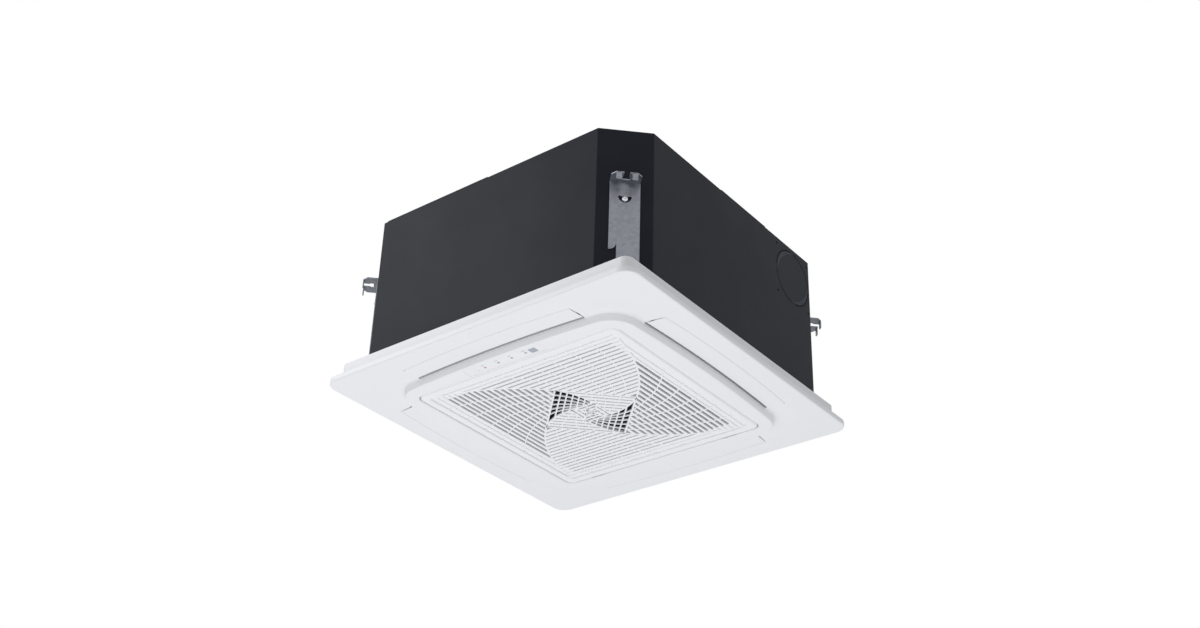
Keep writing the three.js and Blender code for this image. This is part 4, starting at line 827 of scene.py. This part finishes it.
def build_display():
    """Faint plate in the ring with four lamps, marks, a button and the receiver window."""
    y0, y1 = -DISPLAY_D - DISPLAY_DEEP / 2, -DISPLAY_D + DISPLAY_DEEP / 2
    h = DISPLAY_HALF
    outline = rounded_outline([(-h, y0), (h, y0), (h, y1), (-h, y1)], 2)
    cover = Shape().prism(outline, PLATE_Z0, PLATE_Z1, 0.15).object("display_plate")
    cuts = Shape().rod("z", BUTTON_X, -DISPLAY_D, BUTTON_R + GAP, -1, 3, 32)
    wx, wy = WINDOW_W / 2 + GAP, WINDOW_D / 2 + GAP
    cuts.box(WINDOW_X - wx, WINDOW_X + wx, -DISPLAY_D - wy, -DISPLAY_D + wy, -1, 3)
    for x in LAMPS_X:
        cuts.rod("z", x, -DISPLAY_D, LAMP_R + 0.1, -1, 0.6)
    carve(cover, cuts.object("display_cuts"))
    piece(cover, WHITE, "unit_body", ["display_cover"])
    for k, x in enumerate(LAMPS_X):
        lens = Shape().rod("z", x, -DISPLAY_D, LAMP_R, 0.15, 0.9, 24, 0.2).object(f"lamp_{k + 1}")
        piece(lens, LENS_RED if k == 0 else LENS_GREY, "unit_body")
    marks = Shape()
    for x in LAMPS_X:
        width = LAST_MARK_W if x == LAMPS_X[-1] else MARK_W
        marks.box(x - width / 2, x + width / 2, -MARK_D - MARK_DEEP / 2, -MARK_D + MARK_DEEP / 2, 0.0, 0.12)
    piece(marks.object("lamp_marks"), PRINT, "unit_body")
    window = Shape().box(WINDOW_X - WINDOW_W / 2, WINDOW_X + WINDOW_W / 2,
                         -DISPLAY_D - WINDOW_D / 2, -DISPLAY_D + WINDOW_D / 2, PLATE_Z0, PLATE_Z1, 0.25)
    piece(window.object("receiver_lens"), WINDOW, "unit_body", ["receiver_window"])
    button = Shape().rod("z", BUTTON_X, -DISPLAY_D, BUTTON_R, 0, WALL + 1, 40, 0.35)
    button.rod("z", BUTTON_X, -DISPLAY_D, BUTTON_R + 1.6, WALL + GAP, WALL + 1.2, 32)
    button.rod("z", BUTTON_X, -DISPLAY_D, 1.2, WALL + 1, BOARD_Z - 1 - GAP, 16)
    piece(button.object("button_cap"), WHITE, "button_body", ["emergency_button"])


# ------------------------------------------------------------------ cabinet
ARC_STEPS = 12
# Middles, steps, edge and tip of the painted sheen crescents on the knock-out disc.
SHEEN_MIDDLES, SHEEN_STEPS, SHEEN_EDGE, SHEEN_TIP = (135, -45), 8, 3, 3.4
TOP_RIBS, TOP_RIB_PITCH, TOP_RIB_HALF, TOP_RIB_W = 5, 100, 230, 8
HEM_W, HEM_HIGH = 14, 1.3
HEM_X, HEM_Y = (-221, 2), (-41, 91)


def wall_loop(by, z, bend=2.5):
    chamfer = BODY_CHAMFER - by * (2 - math.sqrt(2))
    return [(x, y, z) for x, y in chamfered_square(BODY_HALF - by, chamfer, max(bend - by, 0.6), 4)]


def on_disc(r, angle):
    """Point of the knock-out disc, as (y, z)."""
    return KNOCKOUT_Y + r * math.cos(angle), KNOCKOUT_Z + r * math.sin(angle)


def knockout_cuts():
    """Four slits round the disc, four holes outside them and a screw hole in each chamfer."""
    cuts = Shape()
    shares = [i / ARC_STEPS - 0.5 for i in range(ARC_STEPS + 1)]
    inside, outside = BODY_HALF - SHEET - 1, BODY_HALF + 1
    for k in range(4):
        angles = [math.radians(45 + k * 90 + share * KNOCKOUT_ARC) for share in shares]
        slit = [on_disc(KNOCKOUT_R, a) for a in angles]
        slit += [on_disc(KNOCKOUT_R - KNOCKOUT_SLIT, a) for a in reversed(angles)]
        cuts.loft([[(x, y, z) for y, z in slit] for x in (inside, outside)])
        sy, sz = (1 if k % 2 else -1), (1 if k < 2 else -1)
        cuts.rod("x", KNOCKOUT_Y + sy * KNOCKOUT_SCREWS[0], KNOCKOUT_Z + sz * KNOCKOUT_SCREWS[1], 2,
                 inside, outside)
        screw_hole = Shape().rod("y", 0, SCREW_Z, SCREW_HOLE_R, -CHAMFER_D - 1, -CHAMFER_D + 3)
        cuts.add(screw_hole.turn(45 + 90 * k))
    return cuts


def knockout_crease_sheen():
    """Two crescents on the disc painted lighter: painted sheen where its bent sheet catches the light."""
    sheen_marks = Shape()
    places = range(-SHEEN_STEPS, SHEEN_STEPS + 1)
    for middle in SHEEN_MIDDLES:
        arc = [math.radians(middle + SHEEN_SPAN * i / (2 * SHEEN_STEPS)) for i in places]
        bulge = [KNOCKOUT_R - SHEEN_TIP - SHEEN_W * (1 - (i / SHEEN_STEPS) ** 2) for i in places]
        loop = [on_disc(KNOCKOUT_R - SHEEN_EDGE, a) for a in arc]
        loop += [on_disc(r, a) for r, a in zip(bulge, arc)][::-1]
        sheen_marks.loft([[(BODY_HALF + GAP / 10, y, z) for y, z in loop],
                      [(BODY_HALF + GAP, y, z) for y, z in inset(loop, 0.1)]])
    return sheen_marks


def top_cover():
    """Lid with five pressed ribs and two short hems along its edges."""
    top = Shape().loft([wall_loop(0, BODY_TOP - SHEET), wall_loop(0, BODY_TOP - 0.5),
                        wall_loop(0.5, BODY_TOP)])
    for k in range(TOP_RIBS):
        at = (k - (TOP_RIBS - 1) / 2) * TOP_RIB_PITCH
        top.box(at - TOP_RIB_W / 2, at + TOP_RIB_W / 2, -TOP_RIB_HALF, TOP_RIB_HALF,
                BODY_TOP - 0.2, BODY_TOP + 1.6, 0.9)
    edge = BODY_HALF - 0.2
    top.box(*HEM_X, -edge, -edge + HEM_W, BODY_TOP - 0.3, BODY_TOP + HEM_HIGH, 0.2)
    top.box(edge - HEM_W, edge, *HEM_Y, BODY_TOP - 0.3, BODY_TOP + HEM_HIGH, 0.2)
    return top


def build_cabinet():
    rings = [wall_loop(0, BODY_Z0 + 0.4), wall_loop(0, SHELL_TOP), wall_loop(SHEET, SHELL_TOP),
             wall_loop(SHEET, BODY_Z0), wall_loop(0.4, BODY_Z0)]
    shell = Shape().loft(rings, closed=True).object("cabinet_walls")
    cuts = knockout_cuts()
    cuts.box(-BODY_HALF - 1, -BODY_HALF + SHEET + 1, PIPE_Y - 21, DRAIN_Y + 13, LIQUID_Z - 19, DRAIN_Z + 15)
    carve(shell, cuts.object("cabinet_cuts"))
    piece(shell, CHARCOAL, "unit_body", ["cabinet_shell"])
    # Painted sheen on the knock-out disc: a thin lighter layer laid on the flat wall.
    piece(knockout_crease_sheen().object("knockout_crease_sheen"), PAINTED_SHEEN, "unit_body")
    piece(top_cover().object("top_cover"), CHARCOAL, "unit_body", ["top_plate"])


# ------------------------------------------------------------------ hangers
def plate(outline, holes, thickness, place, edge=0.25):
    """Flat sheet with holes. place turns (a, b, t) into (x, y, z)."""
    body = Shape()
    half = thickness / 2
    loops = [(edge, -half), (0, -half + edge), (0, half - edge), (edge, half)]
    body.loft([[(a, b, t) for a, b in (inset(outline, by) if by else outline)] for by, t in loops])
    obj = body.object("sheet")
    if holes:
        cuts = Shape()
        for hole in holes:
            cuts.prism(hole, -thickness, thickness)
        carve(obj, cuts.object("sheet_holes"))
    for vertex in obj.data.vertices:
        vertex.co = Vector(place(*(c / MM for c in vertex.co))) * MM
    return obj


WING_HALF = ((4, 5), (9, 6.5), (11, 4), (8, -2), (3, -5.5))
LUG_CORNER, SLOT_HALF, BULB_HALF, BULB_NEAR, BULB_FAR = 7, 4.5, 6.5, 8, 14
LIP_X, LIP_DROP = 8, 14


def butterfly(centre_z):
    """Wing-shaped hole behind the screw: it shows on both sides of the screw's head."""
    right = [(x, centre_z + z) for x, z in WING_HALF]
    return [(-x, z) for x, z in reversed(right)] + right


def strap_outline():
    """Strap that narrows near its foot, where the step ends in a small hook on the left."""
    w = HANGER_W / 2
    hook = [(-w + NOTCH_R * math.sin(math.radians(15 * i)),
             NOTCH_Z + NOTCH_R * (1 - math.cos(math.radians(15 * i)))) for i in range(7)]
    return [(-w + NOTCH_R, STRAP_FOOT), (w, STRAP_FOOT), (w, HANGER_Z1 - 0.6), (-w, HANGER_Z1 - 0.6),
            (-w, NOTCH_Z)] + hook


def lug_outline(back, tip):
    """Lug with its key-hole slot, open at the tip."""
    w = HANGER_W / 2
    left = [(-w, back), (-w, tip + LUG_CORNER), (-w + LUG_CORNER, tip), (-SLOT_HALF, tip),
            (-SLOT_HALF, back - BULB_FAR), (-BULB_HALF, back - BULB_FAR), (-BULB_HALF, back - BULB_NEAR)]
    return rounded_outline(left + [(-x, y) for x, y in reversed(left)], 1.0)


def lip_outline(side):
    """Bent tip at one side of the slot."""
    x0, x1 = sorted((side * LIP_X, side * (HANGER_W / 2 - LUG_CORNER)))
    z0, z1 = HANGER_Z1 - LIP_DROP, HANGER_Z1 - 0.5
    return rounded_outline([(x0, z0), (x1, z0), (x1, z1), (x0, z1)], 1.5)


def build_hanger(index, turn):
    back, half = -CHAMFER_D - GAP, HANGER_THICK / 2
    tip = back - HANGER_REACH
    strap = plate(strap_outline(), [butterfly(SCREW_Z)], HANGER_THICK,
                  lambda a, b, q: (a, back - half + q, b))
    lug = plate(lug_outline(back, tip), [], HANGER_THICK, lambda a, b, q: (a, b, HANGER_Z1 - half + q))
    lips = [plate(lip_outline(side), [], HANGER_THICK, lambda a, b, q: (a, tip + half + q, b))
            for side in (-1, 1)]
    hanger = join_into(strap, lug, *lips)
    hanger.name = f"hanger_{index}_strap"
    hanger.data.transform(Matrix.Rotation(math.radians(turn + 45), 4, "Z"))
    piece(hanger, ZINC, "unit_body", [f"hanger_{index}"])


HEAD_HIGH, SHANK_R, SHANK_LONG = 2.6, 2, 8
HEAD_CURVE = ((0, 2.2), (0.3, 3.4), (1.0, 4.2), (1.8, 4.5))
RECESS_HALF, RECESS_W, RECESS_DEEP = 2.4, 0.5, 1.6


def build_screw(index, turn):
    """Pan-head screw with a cross recess."""
    face = -CHAMFER_D - GAP
    head = face - HANGER_THICK - GAP - HEAD_HIGH
    rings = [(head + y, r) for y, r in HEAD_CURVE]
    rings += [(face - 0.2, HEAD_CURVE[-1][1]), (face - 0.2, SHANK_R), (face + SHANK_LONG, SHANK_R)]
    shape = Shape().loft([[(x, y, z) for x, z in circle(0, SCREW_Z, r, 28)] for y, r in rings])
    obj = shape.object(f"hanger_screw_{index}_head")
    front, floor = head - 1, head + RECESS_DEEP
    cuts = Shape().box(-RECESS_HALF, RECESS_HALF, front, floor, SCREW_Z - RECESS_W, SCREW_Z + RECESS_W)
    cuts.box(-RECESS_W, RECESS_W, front, floor, SCREW_Z - RECESS_HALF, SCREW_Z - RECESS_W)
    cuts.box(-RECESS_W, RECESS_W, front, floor, SCREW_Z + RECESS_W, SCREW_Z + RECESS_HALF)
    carve(obj, cuts.object("recess"))
    obj.data.transform(Matrix.Rotation(math.radians(turn + 45), 4, "Z"))
    piece(obj, STEEL, "unit_body", [f"hanger_screw_{index}"])


# ------------------------------------------------------------------ stage, light, camera
FOCAL_PX, IMAGE_W, SENSOR = 1594.35, 1200, 36
CAMERA_AZ, CAMERA_EL, CAMERA_ROLL = 38.3925, -30.6421, 1.7539
CAMERA_AT = (1464.40, -1831.35, -1198.17)
# Metres, watts, and world light relative to plain white.
FLOOR_Z, FLOOR_R = -3.0, 6.0
KEY_AT, KEY_TARGET, KEY_SIZE, KEY_POWER = (-1.3, -1.5, 1.1), (-0.2, -0.3, 0.15), (1.2, 1.2), 17
UNDER_AT, UNDER_TARGET, UNDER_SIZE, UNDER_POWER = (0.0, -0.3, -1.5), (0, 0, 0), (2.6, 2.6), 22
WORLD_LIGHT = 0.5


def build_camera():
    az, el, roll = (math.radians(v) for v in (CAMERA_AZ, CAMERA_EL, CAMERA_ROLL))
    back = Vector((math.sin(az) * math.cos(el), -math.cos(az) * math.cos(el), math.sin(el)))
    right = (-back).cross(Vector((0, 0, 1))).normalized()
    up = right.cross(-back)
    rolled_right = right * math.cos(roll) + up * math.sin(roll)
    rolled_up = up * math.cos(roll) - right * math.sin(roll)
    data = bpy.data.cameras.new("camera")
    data.sensor_width = SENSOR
    data.lens = FOCAL_PX * SENSOR / IMAGE_W
    camera = bpy.data.objects.new("camera", data)
    camera.matrix_world = Matrix.Translation(Vector(CAMERA_AT) * MM) @ Matrix(
        (rolled_right, rolled_up, back)).transposed().to_4x4()
    scene.collection.objects.link(camera)
    scene.camera = camera


def add_lamp(name, place, target, size, power):
    data = bpy.data.lights.new(name, "AREA")
    data.shape = "RECTANGLE"
    data.size, data.size_y = size
    data.energy = power
    lamp = bpy.data.objects.new(name, data)
    lamp.location = place
    lamp.rotation_euler = (Vector(target) - Vector(place)).to_track_quat("-Z", "Y").to_euler()
    scene.collection.objects.link(lamp)


def build_stage():
    world = bpy.data.worlds.new("studio")
    scene.world = world
    world.use_nodes = True
    nodes, links = world.node_tree.nodes, world.node_tree.links
    nodes.clear()
    path = nodes.new("ShaderNodeLightPath")
    seen = nodes.new("ShaderNodeMath")
    seen.operation = "MAXIMUM"
    links.new(path.outputs["Is Camera Ray"], seen.inputs[0])
    links.new(path.outputs["Is Glossy Ray"], seen.inputs[1])
    through = nodes.new("ShaderNodeMath")
    through.operation = "MAXIMUM"
    links.new(seen.outputs[0], through.inputs[0])
    links.new(path.outputs["Is Transmission Ray"], through.inputs[1])
    plain, light = nodes.new("ShaderNodeBackground"), nodes.new("ShaderNodeBackground")
    plain.inputs["Color"].default_value = (1, 1, 1, 1)
    plain.inputs["Strength"].default_value = 1.0
    light.inputs["Color"].default_value = (0.97, 0.98, 1.0, 1)
    light.inputs["Strength"].default_value = WORLD_LIGHT
    mix, out = nodes.new("ShaderNodeMixShader"), nodes.new("ShaderNodeOutputWorld")
    links.new(through.outputs[0], mix.inputs["Fac"])
    links.new(light.outputs[0], mix.inputs[1])
    links.new(plain.outputs[0], mix.inputs[2])
    links.new(mix.outputs[0], out.inputs["Surface"])
    floor = Shape().prism(circle(0, 0, FLOOR_R / MM, 64), FLOOR_Z / MM - 20, FLOOR_Z / MM).object("floor")
    floor.data.materials.append(grained("floor_pale", (0.86, 0.865, 0.87), 0.8, 3.0, 0.02, 0.004))
    add_lamp("key", KEY_AT, KEY_TARGET, KEY_SIZE, KEY_POWER)
    add_lamp("under", UNDER_AT, UNDER_TARGET, UNDER_SIZE, UNDER_POWER)


scene.view_settings.view_transform = "Standard"
build_camera()
build_stage()
dress_cad_nodes()
build_panel()
for number, angle in enumerate(SIDES, 1):
    build_louvre(number, angle)
    build_hanger(number, angle)
    build_screw(number, angle)
build_grille()
build_filter()
build_display()
build_cabinet()
